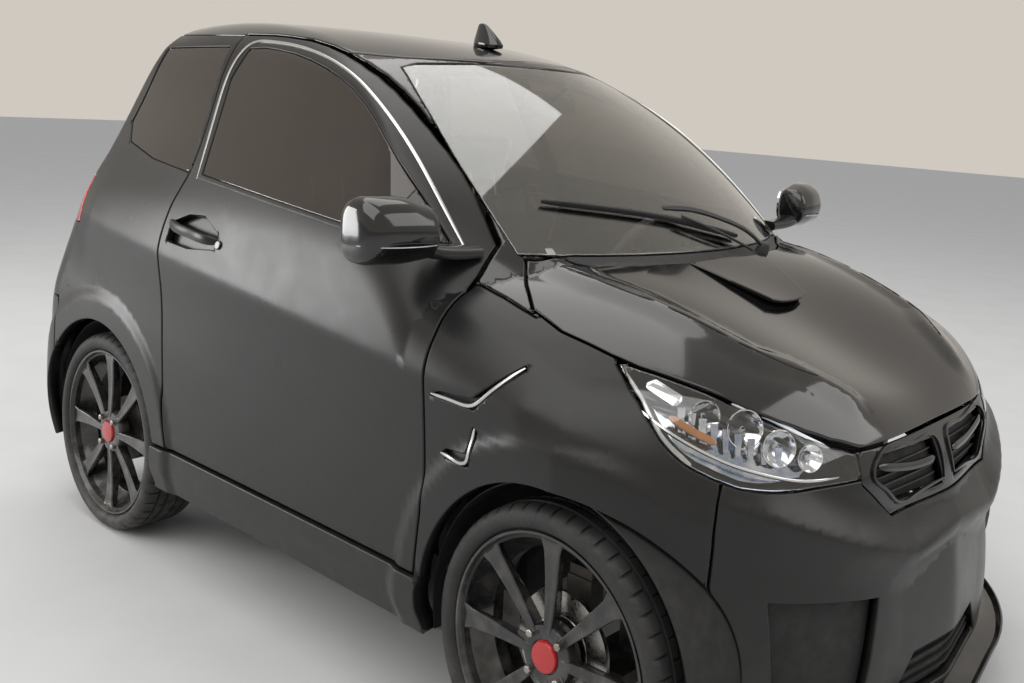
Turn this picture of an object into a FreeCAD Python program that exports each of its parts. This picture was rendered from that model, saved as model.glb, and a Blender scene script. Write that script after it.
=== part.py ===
import FreeCAD
import Part
import math
import os

# A two-seat microcar. X points forward, Y to the left and Z up, in millimetres, with the origin
# on the ground at the middle of the length and width.

doc = FreeCAD.newDocument("microcar")
sheet = doc.addObject("Spreadsheet::Sheet", "sizes")

driving_sizes = [
    # alias, millimetres, degrees or a count
    ("body_length", 2710), ("body_width", 1500), ("roof_height", 1470),
    ("front_axle_x", 800), ("wheelbase", 1720), ("track", 1285),
    ("tyre_radius", 282), ("tyre_width", 165), ("flange_radius", 233), ("rim_width", 146),
    ("barrel_wall", 6), ("hub_radius", 62), ("hub_face_depth", 34), ("hub_thickness", 30), ("spoke_count", 8),
    ("spoke_width", 34), ("spoke_depth", 22), ("cap_radius", 28), ("cap_height", 12),
    ("lug_count", 4), ("lug_circle_radius", 50), ("lug_radius", 8), ("lug_height", 14),
    ("kingpin_y", 610), ("disc_radius", 110), ("disc_thickness", 10), ("stub_radius", 22),
    ("arch_radius", 318), ("wall_side", 62), ("wall_top", 34), ("glass_thickness", 5),
    ("screen_thickness", 6), ("bonnet_thickness", 22), ("shut_gap", 5), ("seat_gap", 0.3),
    ("sill_top", 338), ("sill_bottom", 212), ("floor_top", 205), ("floor_thickness", 22),
    ("firewall_x", 470), ("firewall_thickness", 24), ("luggage_floor_top", 490),
    ("seat_width", 470), ("seat_y", 300), ("seat_depth", 470), ("cushion_top", 520),
    ("cushion_thickness", 130), ("back_height", 700), ("back_thickness", 110), ("back_tilt", 17),
    ("seat_front_x", 150), ("steering_wheel_radius", 178), ("steering_rim_radius", 15),
    ("steering_wheel_x", 190), ("steering_wheel_z", 830), ("column_tilt", 24), ("column_radius", 20),
    ("dash_rear_x", 290), ("dash_top", 915), ("dash_height", 260), ("dash_width", 1130),
    ("engine_length", 330), ("engine_width", 420), ("engine_height", 380), ("engine_x", 850),
    ("engine_bottom", 230), ("tank_length", 190), ("tank_width", 560), ("tank_height", 180),
    ("exhaust_radius", 22), ("silencer_radius", 62), ("silencer_length", 380),
    ("beam_radius", 30), ("arm_thickness", 30), ("strut_radius", 26), ("spring_radius", 48),
    ("rail_y", 330), ("rail_width", 60), ("rail_height", 80), ("rail_bottom", 300),
    ("splitter_thickness", 28), ("splitter_bottom", 122), 
    ("wiper_length", 560), ("wiper_radius", 7), ("mirror_reach", 142), ("mirror_width", 96),
    ("mirror_height", 66), ("antenna_height", 52), ("antenna_length", 90),
    ("plate_bolt_spacing", 290), ("plate_bolt_radius", 3),
]
for row, (alias, value) in enumerate(driving_sizes, start=1):
    sheet.set("A%d" % row, alias)
    sheet.set("B%d" % row, str(value))
    sheet.setAlias("B%d" % row, alias)
doc.recompute()


def size(alias):
    return float(sheet.get(alias))


Vector = FreeCAD.Vector
nodes = {}
front_end = size("body_length") / 2
rear_end = -front_end
half_width = size("body_width") / 2
front_axle = size("front_axle_x")
rear_axle = front_axle - size("wheelbase")
hub_height = size("tyre_radius")
wheel_y = size("track") / 2
gap = size("shut_gap")
fit = size("seat_gap")
middle_x = (front_axle + rear_axle) / 2


# Body surfaces

# Outline of the body seen from above at each level. The x columns are set back from the front
# end or the rear end, and the side columns are how far the side lies inside half the width.
plan_levels = [
    # level, nose, corner_x, corner_y, bulge_x, bulge_y, front_in, middle_in, rear_in,
    # rear_bulge_x, rear_bulge_y, tail_x, tail_y, tail
    (100, 70, 96, 340, 195, 575, 42, 46, 40, 140, 610, 78, 460, 50),
    (260, 42, 60, 345, 158, 594, 16, 26, 14, 112, 634, 42, 470, 10),
    (520, 37, 55, 345, 150, 602, 6, 7, 5, 104, 640, 28, 480, 0),
    (740, 48, 64, 340, 162, 596, 14, 6, 6, 110, 632, 38, 470, 8),
    (960, 60, 90, 330, 196, 575, 38, 24, 24, 148, 610, 82, 455, 48),
    (1060, 70, 106, 315, 236, 540, 80, 50, 54, 172, 584, 114, 440, 80),
    (1250, 100, 156, 290, 296, 470, 175, 142, 142, 238, 512, 190, 398, 152),
    (1400, 130, 206, 260, 356, 420, 240, 212, 214, 302, 448, 256, 356, 220),
    (1500, 180, 276, 220, 426, 350, 330, 300, 305, 340, 380, 306, 300, 272),
]


def plan_outline(row, inset):
    level, nose, corner_x, corner_y, bulge_x, bulge_y, front_in, middle_in, rear_in = row[:9]
    rear_bulge_x, rear_bulge_y, tail_x, tail_y, tail = row[9:]
    nose_tip = Vector(front_end - nose - inset, 0, level)
    side_points = []
    for side in (1, -1):
        side_points.append([
            Vector(front_end - corner_x - inset, side * (corner_y - inset * 0.4), level),
            Vector(front_end - bulge_x - inset * 0.7, side * (bulge_y - inset * 0.7), level),
            Vector(front_axle + 20, side * (half_width - front_in - inset), level),
            Vector(middle_x, side * (half_width - middle_in - inset), level),
            Vector(rear_axle, side * (half_width - rear_in - inset), level),
            Vector(rear_end + rear_bulge_x + inset * 0.7, side * (rear_bulge_y - inset * 0.7), level),
            Vector(rear_end + tail_x + inset, side * (tail_y - inset * 0.4), level),
        ])
    left, right = side_points
    tail_tip = Vector(rear_end + tail + inset, 0, level)
    arcs = [
        Part.Arc(right[0], nose_tip, left[0]),
        Part.Arc(left[0], left[1], left[2]),
        Part.Arc(left[2], left[3], left[4]),
        Part.Arc(left[4], left[5], left[6]),
        Part.Arc(left[6], tail_tip, right[6]),
        Part.Arc(right[6], right[5], right[4]),
        Part.Arc(right[4], right[3], right[2]),
        Part.Arc(right[2], right[1], right[0]),
    ]
    return Part.Wire([arc.toShape() for arc in arcs])


def plan_body(inset):
    return Part.makeLoft([plan_outline(row, inset) for row in plan_levels], True, False)


# Outline of the body seen from the side. Each point has its place on the centre line, how far
# it falls back and down out at the stations, and the direction into the body there.
profile_stations = (0, 420, 760)
profile_points = [
    # name, x, height, back and down at 420, back and down at 760, inward x, inward height
    ("nose_low", front_end + 40, 60, 0, 0, 0, 0, -1, 0),
    ("nose_high", front_end + 40, 560, 0, 0, 0, 0, -1, 0),
    ("bonnet_lead", front_end - 60, 745, 58, 22, 250, 50, -0.2, -1),
    ("bonnet_middle", 1000, 876, 15, 18, 60, 60, 0, -1),
    ("cowl", 700, 978, 75, 4, 245, 10, -0.4, -1),
    ("screen_middle", 392, 1214, 58, 6, 185, 30, -0.6, -0.8),
    ("screen_top", 66, 1408, 38, 22, 120, 75, -0.3, -1),
    ("roof_middle", -560, 1470, 0, 14, 0, 60, 0, -1),
    ("roof_rear", -1120, 1440, -30, 14, -90, 70, 0.7, -0.8),
    ("hatch_middle", -1238, 1230, -22, 0, -90, 0, 1, -0.2),
    ("hatch_low", rear_end + 52, 960, -30, 0, -80, 0, 1, 0),
    ("tail_high", rear_end - 20, 620, 0, 0, 0, 0, 1, 0),
    ("tail_low", rear_end - 20, 60, 0, 0, 0, 0, 1, 0),
]


def side_outline(station, side, inset):
    at = {}
    for name, x, height, back_a, down_a, back_b, down_b, in_x, in_z in profile_points:
        back = (0, back_a, back_b)[station]
        down = (0, down_a, down_b)[station]
        lift = size("roof_height") - 1470 if height > 1300 else 0
        at[name] = Vector(x - back + inset * in_x, side * profile_stations[station],
                          height - down + lift + inset * in_z)
    edges = [
        Part.LineSegment(at["nose_low"], at["nose_high"]),
        Part.LineSegment(at["nose_high"], at["bonnet_lead"]),
        Part.Arc(at["bonnet_lead"], at["bonnet_middle"], at["cowl"]),
        Part.Arc(at["cowl"], at["screen_middle"], at["screen_top"]),
        Part.Arc(at["screen_top"], at["roof_middle"], at["roof_rear"]),
        Part.Arc(at["roof_rear"], at["hatch_middle"], at["hatch_low"]),
        Part.LineSegment(at["hatch_low"], at["tail_high"]),
        Part.LineSegment(at["tail_high"], at["tail_low"]),
        Part.LineSegment(at["tail_low"], at["nose_low"]),
    ]
    return Part.Wire([edge.toShape() for edge in edges])


def side_body(inset):
    sections = [side_outline(2, 1, inset), side_outline(1, 1, inset), side_outline(0, 1, inset),
                side_outline(1, -1, inset), side_outline(2, -1, inset)]
    return Part.makeLoft(sections, True, False)


def body_volume(side_inset, top_inset):
    return plan_body(side_inset).common(side_body(top_inset))


def prism_y(points, y_from, y_to):
    wire = Part.makePolygon([Vector(x, y_from, z) for x, z in points + points[:1]])
    return Part.Face(wire).extrude(Vector(0, y_to - y_from, 0))


def prism_x(points, x_from, x_to):
    wire = Part.makePolygon([Vector(x_from, y, z) for y, z in points + points[:1]])
    return Part.Face(wire).extrude(Vector(x_to - x_from, 0, 0))


def prism_z(points, z_from, z_to):
    wire = Part.makePolygon([Vector(x, y, z_from) for x, y in points + points[:1]])
    return Part.Face(wire).extrude(Vector(0, 0, z_to - z_from))


def grown(points, by):
    flat = Part.makePolygon([Vector(a, b, 0) for a, b in points + points[:1]])
    wire = flat.makeOffset2D(by, 2)
    return [(v.Point.x, v.Point.y) for v in wire.OrderedVertexes]


def box(x_from, x_to, y_from, y_to, z_from, z_to):
    return Part.makeBox(x_to - x_from, y_to - y_from, z_to - z_from, Vector(x_from, y_from, z_from))


def span(side, y_from, y_to):
    return (side * y_from, side * y_to) if side > 0 else (side * y_to, side * y_from)


def side_box(side, x_from, x_to, y_from, y_to, z_from, z_to):
    return box(x_from, x_to, *span(side, y_from, y_to), z_from, z_to)


def mirrored(shape):
    return shape.mirror(Vector(0, 0, 0), Vector(0, 1, 0))


def fused(shapes):
    whole = shapes[0].fuse(shapes[1:]) if len(shapes) > 1 else shapes[0]
    return whole.removeSplitter()


def biggest(shape):
    return sorted(shape.Solids, key=lambda solid: solid.Volume)[-1]


def node_from_shape(label, shape, placement=None):
    feature = doc.addObject("Part::Feature", label)
    feature.Label = label
    solids = [solid for solid in shape.Solids if solid.Volume > 500]
    feature.Shape = solids[0] if len(solids) == 1 else Part.makeCompound(solids)
    if placement:
        feature.Placement = placement
    nodes[label] = feature
    return feature


# Body panels

outer = body_volume(0, 0)
shell = outer.cut(body_volume(size("wall_side"), size("wall_top")))
top_skin = outer.cut(body_volume(size("wall_side"), size("bonnet_thickness")))
screen_skin = outer.cut(body_volume(size("screen_thickness"), size("screen_thickness")))
glass_skin = outer.cut(body_volume(size("glass_thickness"), size("wall_top")))
inside = body_volume(size("wall_side") + size("seat_gap"), size("wall_top") + size("seat_gap"))

sill_top = size("sill_top")
sill_bottom = size("sill_bottom")
rear_door_x = -531
front_door_x = 458
# Door shut line seen from the side, from the lower rear corner forward and round
door_line = [
    (rear_door_x, sill_top), (front_door_x, sill_top), (front_door_x, 960), (425, 1062), (248, 1206),
    (60, 1306), (-80, 1362), (-240, 1400), (-420, 1416), (-592, 1416), (rear_door_x + 24, 1040),
]
door_glass_line = [
    (-486, 1058), (190, 1006), (392, 1004), (404, 1040), (238, 1180), (50, 1283), (-90, 1337),
    (-250, 1373), (-420, 1387), (-548, 1386),
]
quarter_glass_line = [
    (-548, 1072), (-780, 1092), (-925, 1122), (-958, 1165), (-1010, 1385), (-622, 1392),
]
# Bonnet shut line seen from the side
bonnet_line = [(560, 914), (640, 905), (840, 866), (880, 850), (1232, 738), (1330, 738), (1330, 1010), (560, 1010)]
# Rear edge of the bonnet seen from above
bonnet_rear_line = [(740, 0), (726, 160), (692, 340), (640, 500), (598, 600), (588, 800), (1400, 800), (1400, 0)]
# Headlamp seen from the side
lamp_line = [(882, 846), (1056, 698), (1130, 664), (1238, 640), (1262, 640), (1262, 732), (1229, 732)]
lamp_inner_y = 372
grille_line = [(lamp_inner_y, 598), (lamp_inner_y, 728), (-lamp_inner_y, 728), (-lamp_inner_y, 598)]
screen_line = [(540, 990), (536, 1080), (500, 1360), (494, 1376), (-494, 1376), (-500, 1360), (-536, 1080), (-540, 990)]
rear_bumper_top = 636
hatch_line = [(500, rear_bumper_top), (545, 900), (520, 1180), (468, 1392), (468, 1600), (-468, 1600), (-468, 1392),
              (-520, 1180), (-545, 900), (-500, rear_bumper_top)]
hatch_glass_line = [(480, 1010), (462, 1180), (418, 1362), (-418, 1362), (-462, 1180), (-480, 1010)]
hatch_front_x = -1062
bumper_top = 735
front_split_x = 1070
rear_split_x = -1180
tail_lamp_line = [(552, 868), (560, 1004), (760, 1004), (760, 868)]
frame_rear_x = -612
roof_line = [(30, 1396), (-80, 1404), (-300, 1428), (-600, 1436), (-1040, 1424), (-1300, 1424), (-1300, 1560), (140, 1560)]


def side_range(side):
    return (180, 900) if side > 0 else (-900, -180)


def both_sides(points):
    return fused([prism_y(points, 180, 900), prism_y(points, -900, -180)])


def arch_cut(axle_x, radius):
    cutter = Part.makeCylinder(radius, 2000, Vector(axle_x, -1000, hub_height + 6), Vector(0, 1, 0))
    core = box(axle_x - 600, axle_x + 600, -300, 300, 0, 700)
    return cutter.cut(core)


arches = fused([arch_cut(front_axle, size("arch_radius")), arch_cut(rear_axle, size("arch_radius"))])
door_zone = both_sides(grown(door_line, gap))
bonnet_zone = prism_y(bonnet_line, -900, 900).common(
    fused([prism_z(bonnet_rear_line, 600, 1100), mirrored(prism_z(bonnet_rear_line, 600, 1100))]))
bonnet_gap_zone = prism_y(grown(bonnet_line, gap), -900, 900).common(
    fused([prism_z(grown(bonnet_rear_line, gap), 600, 1100), mirrored(prism_z(grown(bonnet_rear_line, gap), 600, 1100))]))
lamp_zone = fused([prism_y(lamp_line, lamp_inner_y, 900), prism_y(lamp_line, -900, -lamp_inner_y)])
lamp_gap_zone = fused([prism_y(grown(lamp_line, fit), lamp_inner_y - fit, 900),
                       prism_y(grown(lamp_line, fit), -900, -lamp_inner_y + fit)])
grille_zone = prism_x(grille_line, 1100, 1420)
grille_gap_zone = prism_x(grown(grille_line, fit), 1100, 1420)
screen_zone = prism_x(screen_line, -60, 900)
hatch_zone = prism_x(hatch_line, -1500, hatch_front_x)
hatch_gap_zone = prism_x(grown(hatch_line, gap), -1500, hatch_front_x + gap)
hatch_glass_zone = prism_x(hatch_glass_line, -1500, hatch_front_x)
tail_lamp_zone = fused([prism_x(tail_lamp_line, -1500, -1160), mirrored(prism_x(tail_lamp_line, -1500, -1160))])
roof_side_y = 440
bonnet_side_y = 592
roof_zone = prism_y(roof_line, -900, 900).fuse(box(hatch_front_x - gap, frame_rear_x, -roof_side_y, roof_side_y, 1370, 1560))

skirt_span = box(rear_axle, front_axle, -900, 900, sill_bottom, sill_top - gap)

for side, name in ((1, "left"), (-1, "right")):
    near = box(-1600, 1600, 0, 900, 0, 1700) if side > 0 else box(-1600, 1600, -900, 0, 0, 1700)
    door = shell.common(prism_y(door_line, *side_range(side))).cut(both_sides(door_glass_line))
    node_from_shape("door_" + name, biggest(door))
    node_from_shape("door_glass_" + name, biggest(glass_skin.common(
        prism_y(grown(door_glass_line, -0.3), *side_range(side)))))
    fender = shell.common(near).common(box(front_door_x - 40, 1400, -900, 900, sill_top - gap + fit, 960))
    fender = fender.cut(door_zone).cut(bonnet_gap_zone).cut(lamp_gap_zone).cut(arches)
    fender = fender.cut(box(0, 800, -bonnet_side_y, bonnet_side_y, 800, 1100))
    fender = fender.cut(box(front_split_x - fit, 1600, -900, 900, 0, bumper_top)).cut(grille_gap_zone)
    node_from_shape("fender_" + name, biggest(fender))
    quarter = shell.common(near).common(box(-1600, rear_door_x + 200, -900, 900, sill_top - gap + fit, 1424))
    quarter = quarter.cut(door_zone).cut(arches).cut(hatch_gap_zone).cut(tail_lamp_zone).cut(roof_zone)
    quarter = quarter.cut(both_sides(quarter_glass_line)).cut(box(-1600, rear_split_x + fit, -900, 900, 0, rear_bumper_top - gap + fit))
    node_from_shape("quarter_" + name, biggest(quarter))

side_skirts = shell.common(skirt_span).cut(arches)
node_from_shape("side_skirts", side_skirts)
node_from_shape("quarter_glass", glass_skin.common(both_sides(grown(quarter_glass_line, -0.3))))
bonnet_arms = [side_box(side, 602, 640, 585 - fit - 14, 585 - fit, 898, 940) for side in (1, -1)]
node_from_shape("bonnet", fused([biggest(top_skin.common(bonnet_zone))] + bonnet_arms))
roof = biggest(shell.common(roof_zone).cut(hatch_gap_zone))
hatch_leaves = [side_box(side, hatch_front_x + fit, hatch_front_x + gap + 12, 270, 320, 1406, 1424) for side in (1, -1)]
fin = prism_y([(-228, 1440), (-128, 1440), (-142, 1466), (-172, 1478), (-196, 1470 + size("antenna_height"))], -7, 7)
node_from_shape("roof_panel", fused([roof, fin] + hatch_leaves))
screen_frame = shell.common(box(-200, 900, -900, 900, 930, 1424)).cut(door_zone).cut(bonnet_gap_zone)
screen_frame = screen_frame.cut(screen_zone).cut(roof_zone).cut(nodes["fender_left"].Shape).cut(nodes["fender_right"].Shape)
screen_frame = screen_frame.cut(box(540, 800, -bonnet_side_y - 8, bonnet_side_y + 8, 880, 960).common(
    box(540, 800, 556, 900, 880, 960).fuse(box(540, 800, -900, -556, 880, 960))))
node_from_shape("screen_frame", screen_frame)
node_from_shape("windscreen", biggest(screen_skin.common(prism_x(grown(screen_line, -0.3), -60, 900))))
node_from_shape("tailgate", biggest(shell.common(hatch_zone).cut(hatch_glass_zone)))
node_from_shape("tailgate_glass", biggest(screen_skin.common(prism_x(grown(hatch_glass_line, -0.3), -1500, hatch_front_x))))
rear_bumper = shell.common(box(-1600, rear_split_x, -900, 900, 200, rear_bumper_top - gap)).cut(arches).cut(hatch_gap_zone)
plate_face_x = rear_end + 20
rear_bumper = rear_bumper.cut(box(-1600, plate_face_x, -262, 262, 335, 455))
for bolt_y in (-size("plate_bolt_spacing") / 2, size("plate_bolt_spacing") / 2):
    rear_bumper = rear_bumper.cut(Part.makeCylinder(size("plate_bolt_radius"), 20, Vector(plate_face_x, bolt_y, 395), Vector(1, 0, 0)))
node_from_shape("rear_bumper", biggest(rear_bumper))
node_from_shape("tail_lamps", shell.common(prism_x(grown(tail_lamp_line, -0.3), -1500, -1160)).fuse(
    shell.common(mirrored(prism_x(grown(tail_lamp_line, -0.3), -1500, -1160)))))
front_bumper = shell.common(box(front_split_x, 1600, -900, 900, 150, bumper_top)).cut(arches)
front_bumper = front_bumper.cut(lamp_gap_zone).cut(grille_gap_zone).cut(bonnet_gap_zone)
node_from_shape("front_bumper", biggest(front_bumper))
node_from_shape("grille_band", biggest(shell.common(grille_zone)))
node_from_shape("headlamp_lenses", screen_skin.common(lamp_zone))
node_from_shape("headlamp_housings", shell.common(lamp_zone).cut(outer.cut(body_volume(8, 8))))



# Pieces made of primitives and sketched bodies


def bind(thing, **expressions):
    for path, expression in expressions.items():
        thing.setExpression(path.replace("__", "."), expression)
    return thing


def place(thing, x="0", y="0", z="0"):
    return bind(thing, Placement__Base__x=x, Placement__Base__y=y, Placement__Base__z=z)


def origin_plane(body, role):
    return [item for item in body.Origin.OriginFeatures if item.Role == role][0]


def sketch_on(body, name, role):
    sketch = body.newObject("Sketcher::SketchObject", name)
    sketch.AttachmentSupport = [(origin_plane(body, role), "")]
    sketch.MapMode = "FlatFace"
    return sketch


def close_outline(sketch, points):
    for index, point in enumerate(points):
        following = points[(index + 1) % len(points)]
        sketch.addGeometry(Part.LineSegment(Vector(*point, 0), Vector(*following, 0)), False)


sides = (("left", 1), ("right", -1))
corners = (("front_left", "sizes.front_axle_x", 1), ("front_right", "sizes.front_axle_x", -1),
           ("rear_left", "sizes.front_axle_x - sizes.wheelbase", 1),
           ("rear_right", "sizes.front_axle_x - sizes.wheelbase", -1))

tyre = size("tyre_radius")
flange = size("flange_radius")
tyre_half = size("tyre_width") / 2
rim_half = size("rim_width") / 2


def turned_body(label, outline):
    # A body turned round the axle line, with the outline as distance along the axle and radius
    body = doc.addObject("PartDesign::Body", label)
    body.Label = label
    sketch = sketch_on(body, label + "_outline", "XY_Plane")
    close_outline(sketch, [(radius, along) for along, radius in outline])
    turned = body.newObject("PartDesign::Revolution", label + "_turned")
    turned.Profile = sketch
    turned.ReferenceAxis = (sketch, ["V_Axis"])
    turned.Angle = 360
    doc.recompute()
    return body


def tyre_outline():
    bead = flange - 14
    return [
        (-rim_half + 9, bead), (-rim_half + 9, flange + 2), (-tyre_half, flange + 12), (-tyre_half, tyre - 20),
        (-tyre_half + 8, tyre - 6), (-tyre_half + 24, tyre), (tyre_half - 24, tyre), (tyre_half - 8, tyre - 6),
        (tyre_half, tyre - 20), (tyre_half, flange + 12), (rim_half - 9, flange + 2), (rim_half - 9, bead),
    ]


def barrel_outline():
    wall = size("barrel_wall")
    seat = flange - 14 - fit
    drop = seat - 26
    return [
        (-rim_half, flange), (-rim_half + 8, flange), (-rim_half + 8.5, seat), (-rim_half + 40, seat),
        (-rim_half + 58, drop), (rim_half - 58, drop), (rim_half - 40, seat), (rim_half - 8.5, seat),
        (rim_half - 8, flange), (rim_half, flange), (rim_half, seat - wall), (rim_half - 40, seat - wall),
        (rim_half - 58, drop - wall), (-rim_half + 58, drop - wall), (-rim_half + 40, seat - wall),
        (-rim_half, seat - wall),
    ]


def blade_shape(outward):
    # One flat spoke, wide at the rim and narrow at the hub, standing up from the axle line
    half_rim = size("spoke_width") / 2 * 1.35
    half_hub = size("spoke_width") / 2 * 0.62
    inner = size("hub_radius") - 12
    reach = flange - 14 - fit - size("barrel_wall") / 2
    hub_face = outward * (rim_half - size("hub_face_depth") - 2)
    rim_face = outward * (rim_half - 12)
    depth = outward * size("spoke_depth")
    sections = []
    for radius, half, along in ((inner, half_hub, hub_face), (reach, half_rim, rim_face)):
        corner = [Vector(-half, along, radius), Vector(half, along, radius),
                  Vector(half * 0.7, along - depth, radius), Vector(-half * 0.7, along - depth, radius)]
        sections.append(Part.makePolygon(corner + corner[:1]))
    return Part.makeLoft(sections, True, True)


def turned_solid(outline):
    # The solid of an outline of distance along the axle and radius, turned round the axle
    wire = Part.makePolygon([Vector(radius, along, 0) for along, radius in outline + outline[:1]])
    return Part.Face(wire).revolve(Vector(0, 0, 0), Vector(0, 1, 0), 360)


def rim_shape(outward, has_disc):
    hub_inner = outward * (rim_half - size("hub_face_depth") - size("hub_thickness"))
    hub_outer = outward * (rim_half - size("hub_face_depth"))
    hub = turned_solid([
        (hub_inner, 0), (hub_inner, size("hub_radius")), (hub_outer, size("hub_radius")),
        (hub_outer + outward * 4, size("cap_radius")),
        (hub_outer + outward * size("cap_height"), size("cap_radius")),
        (hub_outer + outward * (size("cap_height") + 3), 0)])
    pieces = [turned_solid(barrel_outline()), hub]
    blade = blade_shape(outward)
    for index in range(int(size("spoke_count"))):
        turned = blade.copy()
        turned.rotate(Vector(0, 0, 0), Vector(0, 1, 0), 360 / size("spoke_count") * index)
        pieces.append(turned)
    for index in range(int(size("lug_count"))):
        angle = math.radians(360 / size("lug_count") * (index + 0.5))
        foot = Vector(size("lug_circle_radius") * math.sin(angle), hub_outer - outward * 4,
                      size("lug_circle_radius") * math.cos(angle))
        pieces.append(Part.makeCylinder(size("lug_radius"), size("lug_height"), foot, Vector(0, outward, 0)))
    if has_disc:
        disc_start = Vector(0, hub_inner - outward * size("disc_thickness"), 0)
        pieces.append(Part.makeCylinder(size("disc_radius"), size("disc_thickness") + 1, disc_start, Vector(0, outward, 0)))
    return fused(pieces)


for name, axle_x, side in corners:
    tyre_body = turned_body("tyre_" + name, tyre_outline())
    place(tyre_body, axle_x, "%d * sizes.track / 2" % side, "sizes.tyre_radius")
    nodes["tyre_" + name] = tyre_body
    middle = front_axle if name.startswith("front") else rear_axle
    node_from_shape("wheel_" + name, rim_shape(side, name.startswith("front")), FreeCAD.Placement(
        Vector(middle, side * wheel_y, hub_height), FreeCAD.Rotation()))


# Knuckles turn on the kingpins between the two arms

hub_back_y = wheel_y + rim_half - size("hub_face_depth") - size("hub_thickness")
disc_back_y = hub_back_y - size("disc_thickness")
kingpin_y = size("kingpin_y")
upright_bottom = hub_height - 80 + fit
upright_top = hub_height + 125
arm_top = upright_bottom - fit


for name, side in sides:
    caliper_x = front_axle - size("disc_radius")
    knuckle = fused([
        side_box(side, front_axle - 30, front_axle + 30, kingpin_y - 24, kingpin_y + 12, upright_bottom, upright_top),
        Part.makeCylinder(46, 20, Vector(front_axle, side * (kingpin_y + 8), hub_height), Vector(0, side, 0)),
        Part.makeCylinder(size("stub_radius"), disc_back_y - fit - kingpin_y,
                          Vector(front_axle, side * kingpin_y, hub_height), Vector(0, side, 0)),
        side_box(side, caliper_x - 54, caliper_x - 6, disc_back_y - 30, disc_back_y + 14, hub_height - 45, hub_height + 55),
        side_box(side, caliper_x - 40, front_axle, disc_back_y - 30, disc_back_y - 14, hub_height - 18, hub_height + 22),
        side_box(side, front_axle - 150, front_axle, kingpin_y - 22, kingpin_y - 2, hub_height - 66, hub_height - 44),
    ])
    node_from_shape("knuckle_" + name, knuckle)


# Structure and running gear

floor_top = size("floor_top")
floor_bottom = floor_top - size("floor_thickness")
firewall_x = size("firewall_x")
floor_rear = rear_axle + 280
luggage_top = size("luggage_floor_top")
luggage_bottom = luggage_top - 18
luggage_rear = rear_end + 155
rail_y = size("rail_y")
rail_half = size("rail_width") / 2
rail_bottom = size("rail_bottom")
rail_top = rail_bottom + size("rail_height")
tower_top = hub_height + 308
tower_cap = tower_top - 30
pillar_top = 930
bonnet_arm_x = 622
inner_skin_y = half_width - size("wall_side") - 8

tub = [
    box(floor_rear, firewall_x, -600, 600, floor_bottom, floor_top),
    box(firewall_x - size("firewall_thickness"), firewall_x, -540, 540, floor_bottom, 880),
    box(floor_rear, floor_rear + 20, -520, 520, floor_bottom, luggage_top),
    box(luggage_rear, floor_rear + 20, -520, 520, luggage_bottom, luggage_top),
    box(floor_rear, firewall_x - 5, -60, 60, floor_top - 5, floor_top + 95),
]
for side in (1, -1):
    tub += [
        side_box(side, floor_rear + 12, firewall_x, 590, half_width - 99, floor_bottom, sill_top),
        side_box(side, front_door_x + gap, firewall_x + 18, 585, inner_skin_y, sill_top - 2, pillar_top),
        side_box(side, floor_rear + 12, rear_door_x - 30, 620, inner_skin_y, sill_top - 2, 1000),
        side_box(side, luggage_rear, floor_rear + 20, 502, 520, luggage_bottom, luggage_top + 90),
        side_box(side, firewall_x - 5, front_end - 121, rail_y - rail_half, rail_y + rail_half, rail_bottom, rail_top),
        side_box(side, front_axle - 55, front_axle + 55, rail_y, rail_y + rail_half, rail_top - 5, tower_top),
        side_box(side, front_axle - 55, front_axle + 55, rail_y, 500, tower_cap, tower_top),
        side_box(side, rear_end + 82, floor_rear + 5, 355, 405, luggage_bottom - 66, luggage_bottom + 3),
    ]
    for leaf_z in (420, 780):
        tub.append(side_box(side, front_door_x + fit, front_door_x + gap + 10, 640, 676, leaf_z, leaf_z + 50))
    tub.append(side_box(side, front_door_x + gap, bonnet_arm_x + 20, 585, 600, 895, 925))
node_from_shape("body_tub", fused(tub).common(inside))

engine = doc.addObject("Part::Box", "engine_block")
bind(engine, Length="sizes.engine_length", Width="sizes.engine_width", Height="sizes.engine_height")
place(engine, "sizes.engine_x - sizes.engine_length / 2", "-sizes.engine_width / 2", "sizes.engine_bottom")
nodes["engine_block"] = engine

engine_bottom = size("engine_bottom")
strut_y = 445
arm_bottom = arm_top - size("arm_thickness")
suspension = [box(front_axle - 100, front_axle + 100, -300, 300, engine_bottom - 44, engine_bottom)]
for side in (1, -1):
    suspension += [
        side_box(side, front_axle - 70, front_axle + 70, 280, 326, engine_bottom - 60, rail_bottom),
        side_box(side, front_axle - 60, front_axle + 60, 290, 545, arm_bottom, arm_top),
        side_box(side, front_axle - 28, front_axle + 28, 540, kingpin_y + 10, arm_bottom, arm_top),
        side_box(side, front_axle - 28, front_axle + 28, rail_y + rail_half, kingpin_y + 8, upright_top + fit, upright_top + 20),
        Part.makeCylinder(size("strut_radius"), tower_cap - arm_top + 5, Vector(front_axle, side * strut_y, arm_top - 5)),
        Part.makeCylinder(size("spring_radius"), 170, Vector(front_axle, side * strut_y, tower_cap - 170)),
    ]
node_from_shape("front_suspension", fused(suspension))

drum_width = 52
drum_start = hub_back_y - fit - drum_width
axle_parts = [Part.makeCylinder(size("beam_radius"), 2 * drum_start + 10, Vector(rear_axle, -drum_start - 5, hub_height), Vector(0, 1, 0))]
for side in (1, -1):
    axle_parts += [
        Part.makeCylinder(92, drum_width, Vector(rear_axle, side * drum_start, hub_height), Vector(0, side, 0)),
        side_box(side, rear_axle, floor_rear, 440, 484, hub_height - 22, hub_height + 22),
        Part.makeCylinder(size("spring_radius"), luggage_bottom - 66 - hub_height, Vector(rear_axle, side * 380, hub_height)),
    ]
node_from_shape("rear_axle", fused(axle_parts))

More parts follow.
